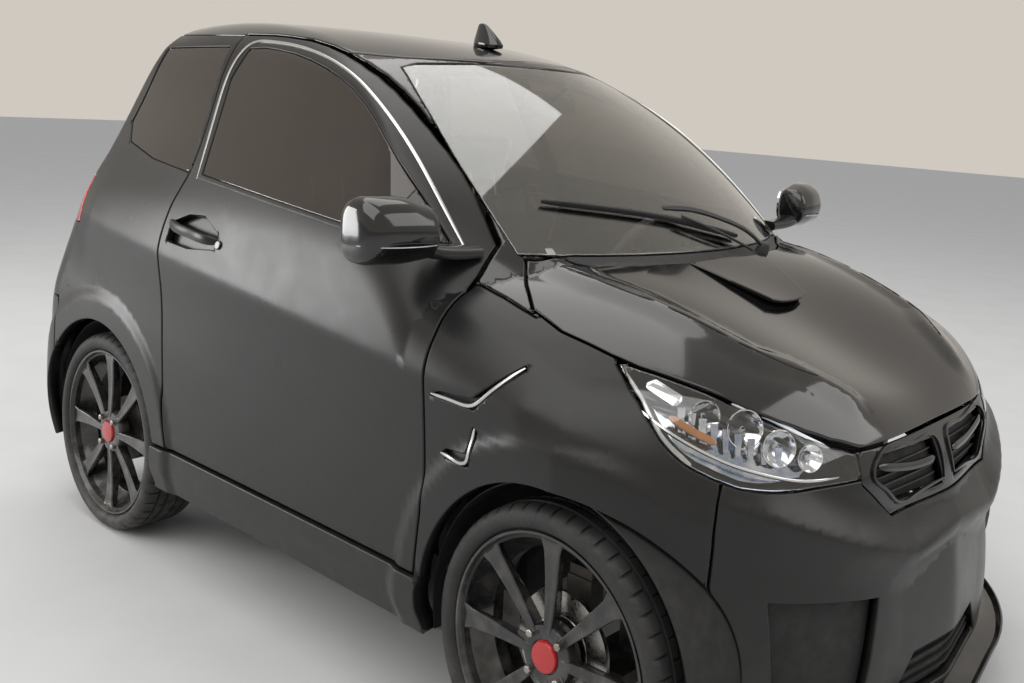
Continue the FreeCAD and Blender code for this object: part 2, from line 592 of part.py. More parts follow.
tank = doc.addObject("Part::Box", "fuel_tank")
bind(tank, Length="sizes.tank_length", Width="sizes.tank_width", Height="sizes.tank_height")
place(tank, "sizes.front_axle_x - sizes.wheelbase + 62", "-sizes.tank_width / 2",
      "sizes.luggage_floor_top - 18 - sizes.tank_height")
nodes["fuel_tank"] = tank

pipe_y = 150
pipe_radius = size("exhaust_radius")
pipe_z = floor_bottom - pipe_radius - fit
silencer_radius = size("silencer_radius")
silencer_z = luggage_bottom - silencer_radius - fit
silencer_x = rear_end + 185
pipe_front = size("engine_x") - size("engine_length") / 2 - pipe_radius - fit
bend_x = rear_axle - 90


def pipe(start, finish):
    run = finish - start
    return Part.makeCylinder(pipe_radius, run.Length, start, run)


bends = [Vector(pipe_front, pipe_y, 330), Vector(pipe_front, pipe_y, pipe_z), Vector(bend_x, pipe_y, pipe_z),
         Vector(silencer_x, pipe_y, silencer_z)]
runs = [pipe(start, finish) for start, finish in zip(bends, bends[1:])]
elbows = [Part.makeSphere(pipe_radius, corner) for corner in bends[1:3]]
silencer = Part.makeCylinder(silencer_radius, size("silencer_length"),
                             Vector(silencer_x, -size("silencer_length") / 2, silencer_z), Vector(0, 1, 0))
node_from_shape("exhaust", fused(runs + elbows + [silencer]))


# Cabin

dash_front = firewall_x - size("firewall_thickness")
dash_rear = size("dash_rear_x")
dash_top = size("dash_top")
dash_bottom = dash_top - size("dash_height")
dash_half = size("dash_width") / 2
seat_y = size("seat_y")
wheel_centre = Vector(size("steering_wheel_x"), seat_y, size("steering_wheel_z"))
column_turn = FreeCAD.Rotation(Vector(0, 1, 0), 90 + size("column_tilt"))
column_way = column_turn.multVec(Vector(0, 0, 1))
column_length = (dash_rear + 40 - wheel_centre.x) / column_way.x
dash = fused([
    box(dash_rear, dash_front, -dash_half, dash_half, dash_bottom, dash_top),
    box(dash_rear + 30, dash_front, -110, 110, floor_top + 95 + fit, dash_bottom + 20),
    Part.makeCylinder(size("column_radius"), column_length - 26 - fit, wheel_centre + column_way * (26 + fit), column_way),
])
node_from_shape("dashboard", dash)

grip = Part.makeTorus(size("steering_wheel_radius"), size("steering_rim_radius"))
steering = [grip, Part.makeCylinder(44, 34, Vector(0, 0, -8))]
for angle in (90, 210, 330):
    bar = Part.makeBox(size("steering_wheel_radius"), 34, 14, Vector(0, -17, -7))
    bar.rotate(Vector(), Vector(0, 0, 1), angle)
    steering.append(bar)
node_from_shape("steering_wheel", fused(steering), FreeCAD.Placement(wheel_centre, column_turn))

seat_front = size("seat_front_x")
seat_half = size("seat_width") / 2
cushion_bottom = size("cushion_top") - size("cushion_thickness")
seat_bases = []
for name, side in sides:
    middle = side * seat_y
    cushion = box(seat_front - size("seat_depth"), seat_front, middle - seat_half, middle + seat_half,
                  cushion_bottom, size("cushion_top"))
    back = Part.makeBox(size("back_thickness"), size("seat_width"), size("back_height"), Vector(0, middle - seat_half, 0))
    back = back.makeFillet(28, back.Edges)
    back.rotate(Vector(), Vector(0, 1, 0), -size("back_tilt"))
    back.translate(Vector(seat_front - size("seat_depth") - 30, 0, cushion_bottom + 30))
    node_from_shape("seat_" + name, fused([cushion.makeFillet(30, cushion.Edges), back]))
    seat_bases.append(box(seat_front - size("seat_depth") + 40, seat_front - 60, middle - seat_half + 40,
                          middle + seat_half - 40, floor_top, cushion_bottom))
node_from_shape("seat_bases", Part.makeCompound(seat_bases))


# Mirrors, wiper and splitter

mirror_root = half_width - 40
for name, side in sides:
    housing = side_box(side, 372, 372 + size("mirror_width"), half_width + 6, half_width + size("mirror_reach"),
                       1000 - size("mirror_height") / 2, 1000 + size("mirror_height") / 2 + 24)
    housing = housing.makeFillet(20, housing.Edges)
    stalk = side_box(side, 400, 440, mirror_root, half_width + 30, 966, 990)
    mirror = fused([housing, stalk]).cut(nodes["door_" + name].Shape).cut(nodes["door_glass_" + name].Shape)
    node_from_shape("mirror_" + name, biggest(mirror))

pivot = Vector(711, 100, 984)
boss = Part.makeCylinder(8, 40, pivot - Vector(0, 0, 40), Vector(0, 0, 1))
arm = Part.makeCylinder(size("wiper_radius"), 330, pivot, Vector(-0.42, -0.86, 0.33))
wiper = fused([boss, arm]).cut(nodes["screen_frame"].Shape).cut(nodes["windscreen"].Shape)
node_from_shape("wiper", biggest(wiper))

splitter_row = plan_levels[1]
splitter = Part.Face(plan_outline(splitter_row, -splitter_row[1])).extrude(Vector(0, 0, size("splitter_thickness")))
splitter.translate(Vector(0, 0, size("splitter_bottom") - splitter_row[0]))
splitter = splitter.common(box(1130, 1600, -900, 900, 0, 400)).cut(arches)
splitter = splitter.cut(box(0, 1240, -540, 540, 0, 400))
node_from_shape("splitter", splitter)

doc.recompute()

failed = [item.Label for item in doc.Objects if "Invalid" in item.State or "Error" in item.State]
for label, item in nodes.items():
    if item.Shape.isNull() or not item.Shape.isValid() or not item.Shape.Solids:
        failed.append(label)
if failed:
    raise SystemExit("These pieces failed: " + ", ".join(failed))

os.makedirs("parts", exist_ok=True)
for label, item in nodes.items():
    item.Shape.exportStep("parts/%s.step" % label)
print("%d nodes written" % len(nodes))
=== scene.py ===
import math
import bmesh
import bpy
import numpy as np
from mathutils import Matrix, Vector


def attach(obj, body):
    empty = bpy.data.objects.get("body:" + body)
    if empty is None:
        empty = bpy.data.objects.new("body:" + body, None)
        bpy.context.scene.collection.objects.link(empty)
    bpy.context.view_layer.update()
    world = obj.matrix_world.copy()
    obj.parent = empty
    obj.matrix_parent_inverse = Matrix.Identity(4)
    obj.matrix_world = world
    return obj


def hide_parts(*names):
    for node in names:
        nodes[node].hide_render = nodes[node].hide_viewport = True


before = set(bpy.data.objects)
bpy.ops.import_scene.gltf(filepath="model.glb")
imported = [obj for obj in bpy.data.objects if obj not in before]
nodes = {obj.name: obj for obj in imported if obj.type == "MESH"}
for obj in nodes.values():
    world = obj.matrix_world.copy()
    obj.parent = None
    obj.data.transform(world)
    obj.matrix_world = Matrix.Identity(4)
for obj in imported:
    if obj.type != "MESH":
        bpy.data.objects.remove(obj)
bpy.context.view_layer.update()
sides = ((1, "left"), (-1, "right"))

# X forward, Y left, Z up, in metres. The photograph shows the right side, where Y is negative.

camera = {
    "place": (2.0046, -2.0527, 1.2883), "turn": (83.869, -3.622, 38.767), "focal": 1034.2, "sensor": 36.0,
    "width": 1024, "shiftX": -0.1172, "shiftY": -0.1172,
}


def newItem(name, data, values=None):
    item = bpy.data.objects.new(name, data)
    if values:
        item.location = values["place"]
        item.rotation_euler = [math.radians(angle) for angle in values["turn"]]
    bpy.context.scene.collection.objects.link(item)
    return item


def addCamera(values):
    data = bpy.data.cameras.new("camera")
    data.sensor_width = values["sensor"]
    data.lens = values["focal"] * values["sensor"] / values["width"]
    data.shift_x = values["shiftX"]
    data.shift_y = values["shiftY"]
    data.clip_start = 0.05
    data.clip_end = 200
    bpy.context.scene.camera = newItem("camera", data, values)


addCamera(camera)


# Body surface

body = {"front": 1.355, "rear": -1.355, "halfWidth": 0.75, "frontAxle": 0.80, "rearAxle": -0.92, "hub": 0.282,
        "cell": 0.0152, "quickCell": 0.024, "lowest": 0.10, "highest": 1.50, "shoulder": 0.085, "pillar": 0.020,
        "roofSide": 0.070, "flare": 0.009, "flareRadius": 0.398}
# In millimetres: level, then inward from the ends and sides the nose, front corner x and y, its bulge x and y,
# the side at the front axle, middle and rear, the rear corner x, its bulge x and y, the tail corner x and y, and the tail
planLevels = np.array([
    (100, 84, 96, 200, 214, 500, 50, 54, 46, 200, 100, 650, 60, 580, 50),
    (260, 74, 86, 200, 204, 510, 20, 26, 14, 165, 71, 694, 30, 610, 10),
    (520, 98, 108, 200, 215, 500, 15, 15, 10, 165, 61, 697, 20, 620, 0),
    (660, 112, 124, 214, 226, 492, 18, 14, 14, 175, 68, 690, 22, 600, 3),
    (740, 120, 134, 225, 240, 480, 24, 16, 22, 215, 84, 674, 32, 575, 8),
    (960, 150, 164, 220, 268, 470, 66, 34, 62, 255, 145, 615, 82, 500, 48),
    (1060, 165, 180, 215, 290, 450, 130, 74, 104, 275, 178, 576, 120, 445, 84),
    (1250, 190, 206, 205, 350, 380, 310, 176, 172, 330, 240, 510, 190, 398, 152),
    (1400, 220, 240, 190, 430, 300, 450, 270, 225, 400, 302, 448, 256, 356, 220),
    (1500, 270, 300, 170, 520, 230, 560, 350, 305, 430, 340, 380, 306, 300, 272),
], dtype=float) / 1000
profileStations = np.array([-0.760, -0.420, 0, 0.420, 0.760])
# Place and height on the centre line, then how far back and down at 0.42 and at 0.76 out
profilePoints = {
    "lead": (1232, 715, 75, -38, 420, -50), "bonnet": (1000, 805, 60, -48, 360, 15), "cowl": (665, 958, 100, 8, 265, 88),
    "screen": (352, 1212, 122, 6, 300, 30), "header": (30, 1399, 150, 23, 290, 75), "roof": (-560, 1470, 0, 9, 0, 60),
    "roofRear": (-1120, 1440, -30, 14, -90, 70), "hatch": (-1238, 1230, -22, 0, -90, 0),
    "hatchLow": (-1303, 960, -30, 0, -80, 0),
}


def splineBends(knots, values):
    count = len(knots)
    step = np.diff(knots)
    system = np.eye(count)
    right = np.zeros((count, values.shape[1]))
    slopes = np.diff(values, axis=0) / step[:, None]
    for i in range(1, count - 1):
        system[i, i - 1:i + 2] = (step[i - 1], 2 * (step[i - 1] + step[i]), step[i])
        right[i] = 6 * (slopes[i] - slopes[i - 1])
    return np.linalg.solve(system, right)


def splineAt(knots, values, bends, where):
    at = np.clip(where, knots[0], knots[-1])
    i = np.clip(np.searchsorted(knots, at) - 1, 0, len(knots) - 2)
    step = (knots[i + 1] - knots[i])[..., None]
    a = (knots[i + 1] - at)[..., None] / step
    b = 1 - a
    return (a * values[i] + b * values[i + 1]
            + ((a ** 3 - a) * bends[i] + (b ** 3 - b) * bends[i + 1]) * step ** 2 / 6)


planBends = splineBends(planLevels[:, 0], planLevels[:, 1:])
profileNames = list(profilePoints)
profileTable = []
for out in (2, 1, 0, 1, 2):
    row = []
    for name in profileNames:
        x, z, backA, downA, backB, downB = profilePoints[name]
        row += [x - (0, backA, backB)[out], z - (0, downA, downB)[out]]
    profileTable.append(row)
profileTable = np.array(profileTable, dtype=float) / 1000
profileBends = splineBends(profileStations, profileTable)


def circleDistance(x, y, ax, ay, bx, by, cx, cy):
    # Signed distance from the circle through three points
    d = 2 * (ax * (by - cy) + bx * (cy - ay) + cx * (ay - by))
    a2, b2, c2 = ax ** 2 + ay ** 2, bx ** 2 + by ** 2, cx ** 2 + cy ** 2
    ux = (a2 * (by - cy) + b2 * (cy - ay) + c2 * (ay - by)) / d
    uy = (a2 * (cx - bx) + b2 * (ax - cx) + c2 * (bx - ax)) / d
    return np.hypot(x - ux, y - uy) - np.hypot(ax - ux, ay - uy)


def lineDistance(x, y, ax, ay, bx, by):
    # Distance from the straight line between two points
    ex, ey = bx - ax, by - ay
    share = np.clip(((x - ax) * ex + (y - ay) * ey) / (ex * ex + ey * ey), 0, 1)
    return np.hypot(x - ax - share * ex, y - ay - share * ey)


def parabola(t, t0, v0, t1, v1, t2, v2):
    # Value and slope at t of the parabola through three points
    d0, d1, d2 = (t0 - t1) * (t0 - t2), (t1 - t0) * (t1 - t2), (t2 - t0) * (t2 - t1)
    value = v0 * (t - t1) * (t - t2) / d0 + v1 * (t - t0) * (t - t2) / d1 + v2 * (t - t0) * (t - t1) / d2
    slope = v0 * (2 * t - t1 - t2) / d0 + v1 * (2 * t - t0 - t2) / d1 + v2 * (2 * t - t0 - t1) / d2
    return value, slope


def roundMax(a, b, soft):
    return np.maximum(a, b) + np.maximum(soft - np.abs(a - b), 0) ** 2 / (4 * soft)


def planDistance(x, y, z):
    row = splineAt(planLevels[:, 0], planLevels[:, 1:], planBends, z)
    (nose, cornerX, cornerY, bulgeX, bulgeY, frontIn, middleIn, rearIn, rearSideX, rearBulgeX, rearBulgeY,
     tailX, tailY, tail) = [row[..., i] for i in range(row.shape[-1])]
    y = np.abs(y)
    front, rear, half = body["front"], body["rear"], body["halfWidth"]
    split = body["frontAxle"] + 0.02
    rearSplit = rear + rearSideX
    middle = (body["frontAxle"] + body["rearAxle"]) / 2
    width, slope = parabola(x, split, half - frontIn, middle, half - middleIn, rearSplit, half - rearIn)
    side = (y - width) / np.sqrt(1 + slope ** 2)
    corner = circleDistance(x, y, front - cornerX, cornerY, front - bulgeX, bulgeY, split, half - frontIn)
    noseEnd = circleDistance(x, y, front - cornerX, -cornerY, front - nose, 0, front - cornerX, cornerY)
    ahead = np.where(y < cornerY, noseEnd, corner)
    rearCorner = circleDistance(x, y, rear + tailX, tailY, rear + rearBulgeX, rearBulgeY, rearSplit, half - rearIn)
    tailEnd = circleDistance(x, y, rear + tailX, -tailY, rear + tail, 0, rear + tailX, tailY)
    behind = np.where(y < tailY, tailEnd, rearCorner)
    return np.where(x > split, ahead, np.where(x < rearSplit, behind, side))


def flareHeight(x, y, z):
    # Raised lips round the wheel arches
    height = 0
    for axle in (body["frontAxle"], body["rearAxle"]):
        away = np.hypot(x - axle, z - body["hub"] - 0.006)
        height = height + ramp(body["flareRadius"] - away, -0.020, 0.018)
    return height * body["flare"] * ramp(np.abs(y), 0.55, 0.66)


# Creases raised on the surface, as points with how wide and how high they are
ridges = [
    {"path": [(0.55, 0.454), (0.65, 0.450), (0.75, 0.426), (0.85, 0.409), (0.95, 0.388), (1.0, 0.373), (1.05, 0.321),
              (1.15, 0.263)], "axes": (0, 1), "wide": 0.040, "high": 0.010, "least": 0.70},
    {"path": [(0.60, 0.625), (0.470, 0.570), (0.364, 0.525), (0.285, 0.503), (0.236, 0.486), (0.19, 0.480), (0.10, 0.486),
              (0.0, 0.496)], "axes": (1, 2), "wide": 0.072, "high": 0.032, "least": 0.0},
    {"path": [(0.0, 0.50), (0.0, 0.14)], "axes": (1, 2), "wide": 0.20, "high": 0.016, "least": 0.0},
    {"path": [(-1.0, 0.90), (-0.55, 0.850), (0.0, 0.795), (0.46, 0.750), (0.72, 0.74)],
     "axes": (0, 2), "wide": 0.19, "high": 0.018, "least": 0.0},
]
crest = {"soft": 0.00022, "loss": 0.015, "power": 1.7, "fade": 0.08}


def ridgeHeight(x, y, z, ridge):
    place = (x, np.abs(y), z)
    a, b = place[ridge["axes"][0]], place[ridge["axes"][1]]
    nearest = np.full(np.shape(a), 1e9)
    for start, end in zip(ridge["path"], ridge["path"][1:]):
        nearest = np.minimum(nearest, lineDistance(a, b, *start, *end))
    nearest = np.sqrt(nearest ** 2 + crest["soft"]) - crest["loss"]
    share = np.clip(1 - nearest / ridge["wide"], 0, 1) ** crest["power"]
    return ridge["high"] * share * ramp(z, ridge["least"], ridge["least"] + crest["fade"])


def topDistance(x, y, z):
    row = splineAt(profileStations, profileTable, profileBends, y)
    at = {}
    for i, name in enumerate(profileNames):
        at[name] = (row[..., 2 * i], row[..., 2 * i + 1])
    bonnet, bonnetSlope = parabola(x, *at["lead"], *at["bonnet"], *at["cowl"])
    screen, screenSlope = parabola(x, *at["cowl"], *at["screen"], *at["header"])
    roof, roofSlope = parabola(x, *at["header"], *at["roof"], *at["roofRear"])
    over = np.where(x > at["cowl"][0], (z - bonnet) / np.sqrt(1 + bonnetSlope ** 2),
                    np.where(x > at["header"][0], (z - screen) / np.sqrt(1 + screenSlope ** 2),
                             (z - roof) / np.sqrt(1 + roofSlope ** 2)))
    noseLow, tailLow = (1.395, 0.560), (-1.375, 0.620)
    leadX, leadZ = at["lead"]
    slope = (leadX - noseLow[0]) / (leadZ - noseLow[1])
    ahead = (x - noseLow[0] - (z - noseLow[1]) * slope) / np.sqrt(1 + slope ** 2)
    hatch, hatchSlope = parabola(z, at["hatchLow"][1], at["hatchLow"][0], at["hatch"][1], at["hatch"][0],
                                 at["roofRear"][1], at["roofRear"][0])
    tailSlope = (at["hatchLow"][0] - tailLow[0]) / (at["hatchLow"][1] - tailLow[1])
    tail = tailLow[0] + (z - tailLow[1]) * tailSlope
    upper = z > at["hatchLow"][1]
    rearFace = np.where(upper, hatch, np.maximum(tail, tailLow[0]))
    rearSlope = np.where(upper, hatchSlope, tailSlope)
    behind = (rearFace - x) / np.sqrt(1 + rearSlope ** 2)
    return roundMax(roundMax(over, ahead, 0.05), behind, 0.03)


def ramp(value, low, high):
    t = np.clip((value - low) / (high - low), 0, 1)
    return t * t * (3 - 2 * t)


def bodyDistance(points):
    # Negative inside. The edge between top and sides is round at the shoulder, narrow at the pillars, round at the roof
    x, y, z = points[..., 0], points[..., 1], points[..., 2]
    over = topDistance(x, y, z)
    soft = body["shoulder"] + (body["pillar"] - body["shoulder"]) * ramp(z, 0.96, 1.02)
    soft = soft + (body["roofSide"] - body["pillar"]) * ramp(z, 1.30, 1.42)
    over = over - ridgeHeight(x, y, z, ridges[0]) * (x > 0.5)
    beam = np.maximum(ridgeHeight(x, y, z, ridges[1]), ridgeHeight(x, y, z, ridges[2])) * ramp(x, 1.04, 1.16)
    side = ridgeHeight(x, y, z, ridges[3]) * ramp(np.abs(y), 0.45, 0.60)
    return roundMax(planDistance(x, y, z) - flareHeight(x, y, z) - beam - side, over, soft)


def bodyNormals(points, reach=0.0008):
    slopes = []
    for axis in range(3):
        step = np.zeros(3)
        step[axis] = reach
        slopes.append(bodyDistance(points + step) - bodyDistance(points - step))
    normal = np.stack(slopes, -1) / (2 * reach)
    return normal / np.maximum(np.linalg.norm(normal, axis=-1, keepdims=True), 1e-9)


def ontoBody(points, rounds=3):
    for _ in range(rounds):
        normal = bodyNormals(points)
        points = points - normal * bodyDistance(points)[..., None]
    return points


def surfaceNet(cell):
    # Triangles of the whole body surface, with corners one cell apart
    axes = [np.arange(-1.38, 1.39, cell), np.arange(-0.78, 0.79, cell), np.arange(body["lowest"], body["highest"], cell)]
    grid = np.stack(np.meshgrid(*axes, indexing="ij"), -1)
    value = np.empty(grid.shape[:3])
    slab = 24
    for i in range(0, len(axes[0]), slab):
        value[i:i + slab] = bodyDistance(grid[i:i + slab])
    inside = value < 0
    total = np.zeros(tuple(n - 1 for n in inside.shape), dtype=np.int8)
    for i in (0, 1):
        for j in (0, 1):
            for k in (0, 1):
                total += inside[i:i + total.shape[0], j:j + total.shape[1], k:k + total.shape[2]]
    active = (total > 0) & (total < 8)
    number = np.full(active.shape, -1)
    number[active] = np.arange(active.sum())
    corner = np.argwhere(active)
    points = np.stack([axes[a][corner[:, a]] + cell / 2 for a in range(3)], -1)
    quads = []
    for axis in range(3):
        low = [slice(None)] * 3
        high = [slice(None)] * 3
        low[axis] = slice(0, -1)
        high[axis] = slice(1, None)
        crossing = inside[tuple(low)] != inside[tuple(high)]
        at = np.argwhere(crossing)
        b, c = (axis + 1) % 3, (axis + 2) % 3
        at = at[(at[:, b] > 0) & (at[:, c] > 0) & (at[:, b] < active.shape[b]) & (at[:, c] < active.shape[c])]
        ring = []
        for db, dc in ((-1, -1), (0, -1), (0, 0), (-1, 0)):
            cellAt = at.copy()
            cellAt[:, b] += db
            cellAt[:, c] += dc
            ring.append(number[cellAt[:, 0], cellAt[:, 1], cellAt[:, 2]])
        ring = np.stack(ring, -1)
        out = inside[at[:, 0], at[:, 1], at[:, 2]]
        ring[~out] = ring[~out][:, ::-1]
        quads.append(ring)
    quads = np.concatenate(quads)
    quads = quads[(quads >= 0).all(1)]
    triangles = np.concatenate([quads[:, [0, 1, 2]], quads[:, [0, 2, 3]]])
    points = ontoBody(points, 4)
    pairs = np.concatenate([quads[:, [0, 1]], quads[:, [1, 2]], quads[:, [2, 3]], quads[:, [3, 0]]])
    pairs = np.concatenate([pairs, pairs[:, ::-1]])
    count = np.bincount(pairs[:, 0], minlength=len(points))[:, None]
    for _ in range(2):
        # Each corner moves halfway to the middle of its neighbours, then back onto the surface
        middle = np.stack([np.bincount(pairs[:, 0], points[pairs[:, 1], a], len(points)) for a in range(3)], -1)
        points = ontoBody(points + 0.5 * (middle / np.maximum(count, 1) - points) * (count > 3), 2)
    return points, triangles


def splitAt(points, triangles, value, level):
    # Adds corners where value crosses level, and returns points, triangles and value
    above = value > level
    mixed = above[triangles].any(1) & ~above[triangles].all(1)
    kept = triangles[~mixed]
    cut = triangles[mixed]
    if not len(cut):
        return points, triangles, value
    lone = above[cut] == (above[cut].sum(1) == 1)[:, None]
    first = np.argmax(lone, 1)
    order = (first[:, None] + np.arange(3)) % 3
    cut = np.take_along_axis(cut, order, 1)
    edges = np.concatenate([cut[:, [0, 1]], cut[:, [0, 2]]])
    keys, back = np.unique(np.sort(edges, 1), axis=0, return_inverse=True)
    back = back.reshape(-1)
    a, b = keys[:, 0], keys[:, 1]
    share = np.clip((level - value[a]) / (value[b] - value[a]), 0.001, 0.999)
    added = points[a] + (points[b] - points[a]) * share[:, None]
    made = len(points) + back
    ab, ac = made[:len(cut)], made[len(cut):]
    pieces = [np.stack(corners, 1) for corners in ((cut[:, 0], ab, ac), (ab, cut[:, 1], cut[:, 2]), (ab, cut[:, 2], ac))]
    return (np.concatenate([points, added]), np.concatenate([kept] + pieces),
            np.concatenate([value, np.full(len(added), level)]))


def trimmed(points, triangles):
    # Only the points that the triangles use
    used, back = np.unique(triangles, return_inverse=True)
    return points[used], back.reshape(triangles.shape)


def outlineDistance(outline, a, b):
    # Signed distance from a closed outline of (a, b) corners, negative inside
    corners = np.array(outline, dtype=float)
    nearest = np.full(a.shape, 1e9)
    crossings = np.zeros(a.shape, dtype=int)
    for (ax, ay), (bx, by) in zip(corners, np.roll(corners, -1, axis=0)):
        nearest = np.minimum(nearest, lineDistance(a, b, ax, ay, bx, by))
        if ay != by:
            crossings += ((ay > b) != (by > b)) & (a < ax + (b - ay) * (bx - ax) / (by - ay))
    return np.where(crossings % 2 == 1, -nearest, nearest)


def meshObject(name, points, faces, normals=None, material=None, smooth=True):
    mesh = bpy.data.meshes.new(name)
    mesh.from_pydata(np.asarray(points).tolist(), [], faces)
    mesh.validate()
    if smooth:
        mesh.polygons.foreach_set("use_smooth", [True] * len(mesh.polygons))
    if normals is not None and len(mesh.vertices) == len(normals):
        mesh.normals_split_custom_set_from_vertices(np.asarray(normals).tolist())
    if material:
        mesh.materials.append(material)
    return newItem(name, mesh)


netPoints, netTriangles = surfaceNet(body["cell"])
print("body net", len(netPoints), len(netTriangles))


def panel(name, zone, thickness, material, roll=0.003, sunk=0.0, lift=None):
    # A panel of the body surface: zone gives the signed distance to its edge, negative inside
    value = zone(netPoints)
    close = (value[netTriangles] < 0.03).any(1)
    points, triangles = trimmed(netPoints, netTriangles[close])
    value = zone(points)
    for level in (-roll, -0.55 * roll, -0.15 * roll, 0):
        points, triangles, value = splitAt(points, triangles, value, level)
        value = zone(points)
        value[np.abs(value - level) < 1e-5] = level
    middle = points[triangles].mean(1)
    points, triangles = trimmed(points, triangles[zone(middle) < 0])
    points = ontoBody(points, 1)
    value = np.minimum(zone(points), 0)
    base = bodyNormals(points)
    outward = np.zeros_like(points)
    for axis in range(3):
        step = np.zeros(3)
        step[axis] = 0.0005
        outward[:, axis] = zone(points + step) - zone(points - step)
    outward -= base * (outward * base).sum(1)[:, None]
    outward /= np.maximum(np.linalg.norm(outward, axis=1), 1e-6)[:, None]
    near = np.clip((roll + value) / roll, 0, 1)
    depth = roll * (1 - np.sqrt(np.maximum(1 - near ** 2, 0)))
    tilt = np.arcsin(np.clip(near, 0, 0.995))
    normals = base * np.cos(tilt)[:, None] + outward * np.sin(tilt)[:, None]
    raised = lift(points) if lift else np.zeros(len(points))
    top = points - base * (depth + sunk - raised)[:, None]
    inner = points - base * (thickness + sunk - raised)[:, None]
    count = len(points)
    edges = np.concatenate([triangles[:, [0, 1]], triangles[:, [1, 2]], triangles[:, [2, 0]]])
    keys, back, times = np.unique(np.sort(edges, 1), axis=0, return_inverse=True, return_counts=True)
    rim = edges[times[back.reshape(-1)] == 1]
    faces = [list(face) for face in triangles.tolist()]
    faces += [[face[0] + count, face[2] + count, face[1] + count] for face in triangles.tolist()]
    faces += [[b, a, a + count, b + count] for a, b in rim.tolist()]
    allNormals = np.concatenate([normals, -base])
    return meshObject(name, np.concatenate([top, inner]), faces, allNormals, material)


def both(*zones):
    # Inside all of these
    return lambda p: np.max([zone(p) for zone in zones], axis=0)


def either(*zones):
    # Inside at least one of these
    return lambda p: np.min([zone(p) for zone in zones], axis=0)


def outside(zone, gap=0.0):
    # Outside a zone, and clear of its edge by the gap
    return lambda p: gap - zone(p)


def grown(zone, by):
    return lambda p: zone(p) - by


def fromSide(outline):
    corners = np.array(outline) / 1000
    return lambda p: outlineDistance(corners, p[..., 0], p[..., 2])


def fromFront(outline):
    corners = np.array(outline) / 1000
    return lambda p: outlineDistance(corners, p[..., 1], p[..., 2])


def fromTop(outline):
    corners = np.array(outline) / 1000
    return lambda p: outlineDistance(corners, p[..., 0], np.abs(p[..., 1]))


def onSide(side, least=0.18):
    return lambda p: least - side * p[..., 1]


def beyond(axis, value, sign=1):
    # Inside where the coordinate is more than value, or less with sign -1
    return lambda p: sign * (value / 1000 - p[..., axis])


def archZone(x, z, radius):
    return lambda p: np.hypot(p[..., 0] - x, p[..., 2] - z) - radius


gap = 0.005
lines = {
    "door": [(-533, 338), (460, 338), (474, 470), (474, 830), (462, 930), (446, 990), (345, 1088), (240, 1170), (95, 1262),
             (-45, 1332), (-190, 1382), (-340, 1414), (-480, 1424), (-600, 1424), (-590, 1303), (-566, 1184), (-552, 1089),
             (-556, 1040), (-572, 975), (-575, 890), (-567, 740), (-562, 610), (-557, 462)],
    "doorGlass": [(-494, 1057), (147, 1004), (392, 990), (315, 1058), (212, 1136), (76, 1228), (-55, 1298), (-190, 1346),
                  (-336, 1379), (-470, 1392), (-530, 1388), (-548, 1303)],
    "sail": [(262, 1000), (392, 990), (315, 1058), (268, 1094)],
    "quarterGlass": [(-562, 1056), (-784, 1075), (-968, 1110), (-1012, 1165), (-972, 1287), (-945, 1385), (-622, 1392),
                     (-612, 1303), (-588, 1184)],
    "bonnet": [(676, -10), (676, 0), (669, 145), (640, 290), (595, 374), (502, 501), (550, 545), (614, 591), (700, 600),
               (764, 590), (869, 568), (1026, 499), (1102, 446), (1165, 369), (1206, 284), (1400, 284), (1400, -10)],
    "scoop": [(672, -10), (672, 150), (760, 118), (843, 76), (852, 40), (854, -10)],
    "wing": [(434, 333), (1400, 333), (1400, 960), (655, 960), (640, 875), (546, 899), (477, 914), (434, 922)],
    "lamp": [(833, 824), (910, 774), (969, 718), (1022, 677), (1090, 647), (1157, 637), (1300, 640), (1300, 900), (833, 900)],
    "grille": [(318, 628), (318, 687), (-318, 687), (-318, 628), (-240, 558), (240, 558)],
    "grilleHole": [(24, 574), (34, 664), (262, 672), (286, 640), (214, 576)],
    "intake": [(150, 262), (232, 166), (-232, 166), (-150, 262)],
    "duct": [(508, 438), (496, 196), (318, 196), (278, 408)],
    "screen": [(512, 972), (508, 1069), (492, 1174), (449, 1285), (395, 1368), (200, 1384), (-200, 1384), (-395, 1368),
               (-449, 1285), (-492, 1174), (-508, 1069), (-512, 972)],
    "hatch": [(500, 636), (545, 900), (520, 1180), (468, 1392), (468, 1600), (-468, 1600), (-468, 1392),
              (-520, 1180), (-545, 900), (-500, 636)],
    "hatchGlass": [(480, 1010), (462, 1180), (418, 1362), (-418, 1362), (-462, 1180), (-480, 1010)],
    "roof": [(10, 1388), (-100, 1385), (-240, 1390), (-600, 1390), (-600, 1424), (-1300, 1424), (-1300, 1560), (140, 1560)],
    "tailLamp": [(552, 868), (560, 1004), (760, 1004), (760, 868)],
    "ventHigh": [(497, 714), (620, 712), (704, 798), (696, 806), (614, 733), (520, 727)],
    "ventLow": [(522, 600), (612, 598), (630, 675), (617, 680), (602, 622), (540, 616)],
    "handle": [(-545, 884), (-440, 878), (-318, 890), (-318, 928), (-400, 962), (-470, 958), (-545, 930)],
    "plate": [(262, 335), (262, 455), (-262, 455), (-262, 335)],
}


def eased(outline, first, last, steps=3):
    # The same outline with a smooth curve through some of its corners
    corners = np.array(outline, float)
    made = list(corners[:first])
    for i in range(first, last):
        a, b, c, d = corners[max(i - 1, first)], corners[i], corners[i + 1], corners[min(i + 2, last)]
        for t in np.arange(steps) / steps:
            made.append(0.5 * (2 * b + (c - a) * t + (2 * a - 5 * b + 4 * c - d) * t ** 2
                               + (3 * b - a - 3 * c + d) * t ** 3))
    return made + list(corners[last:])


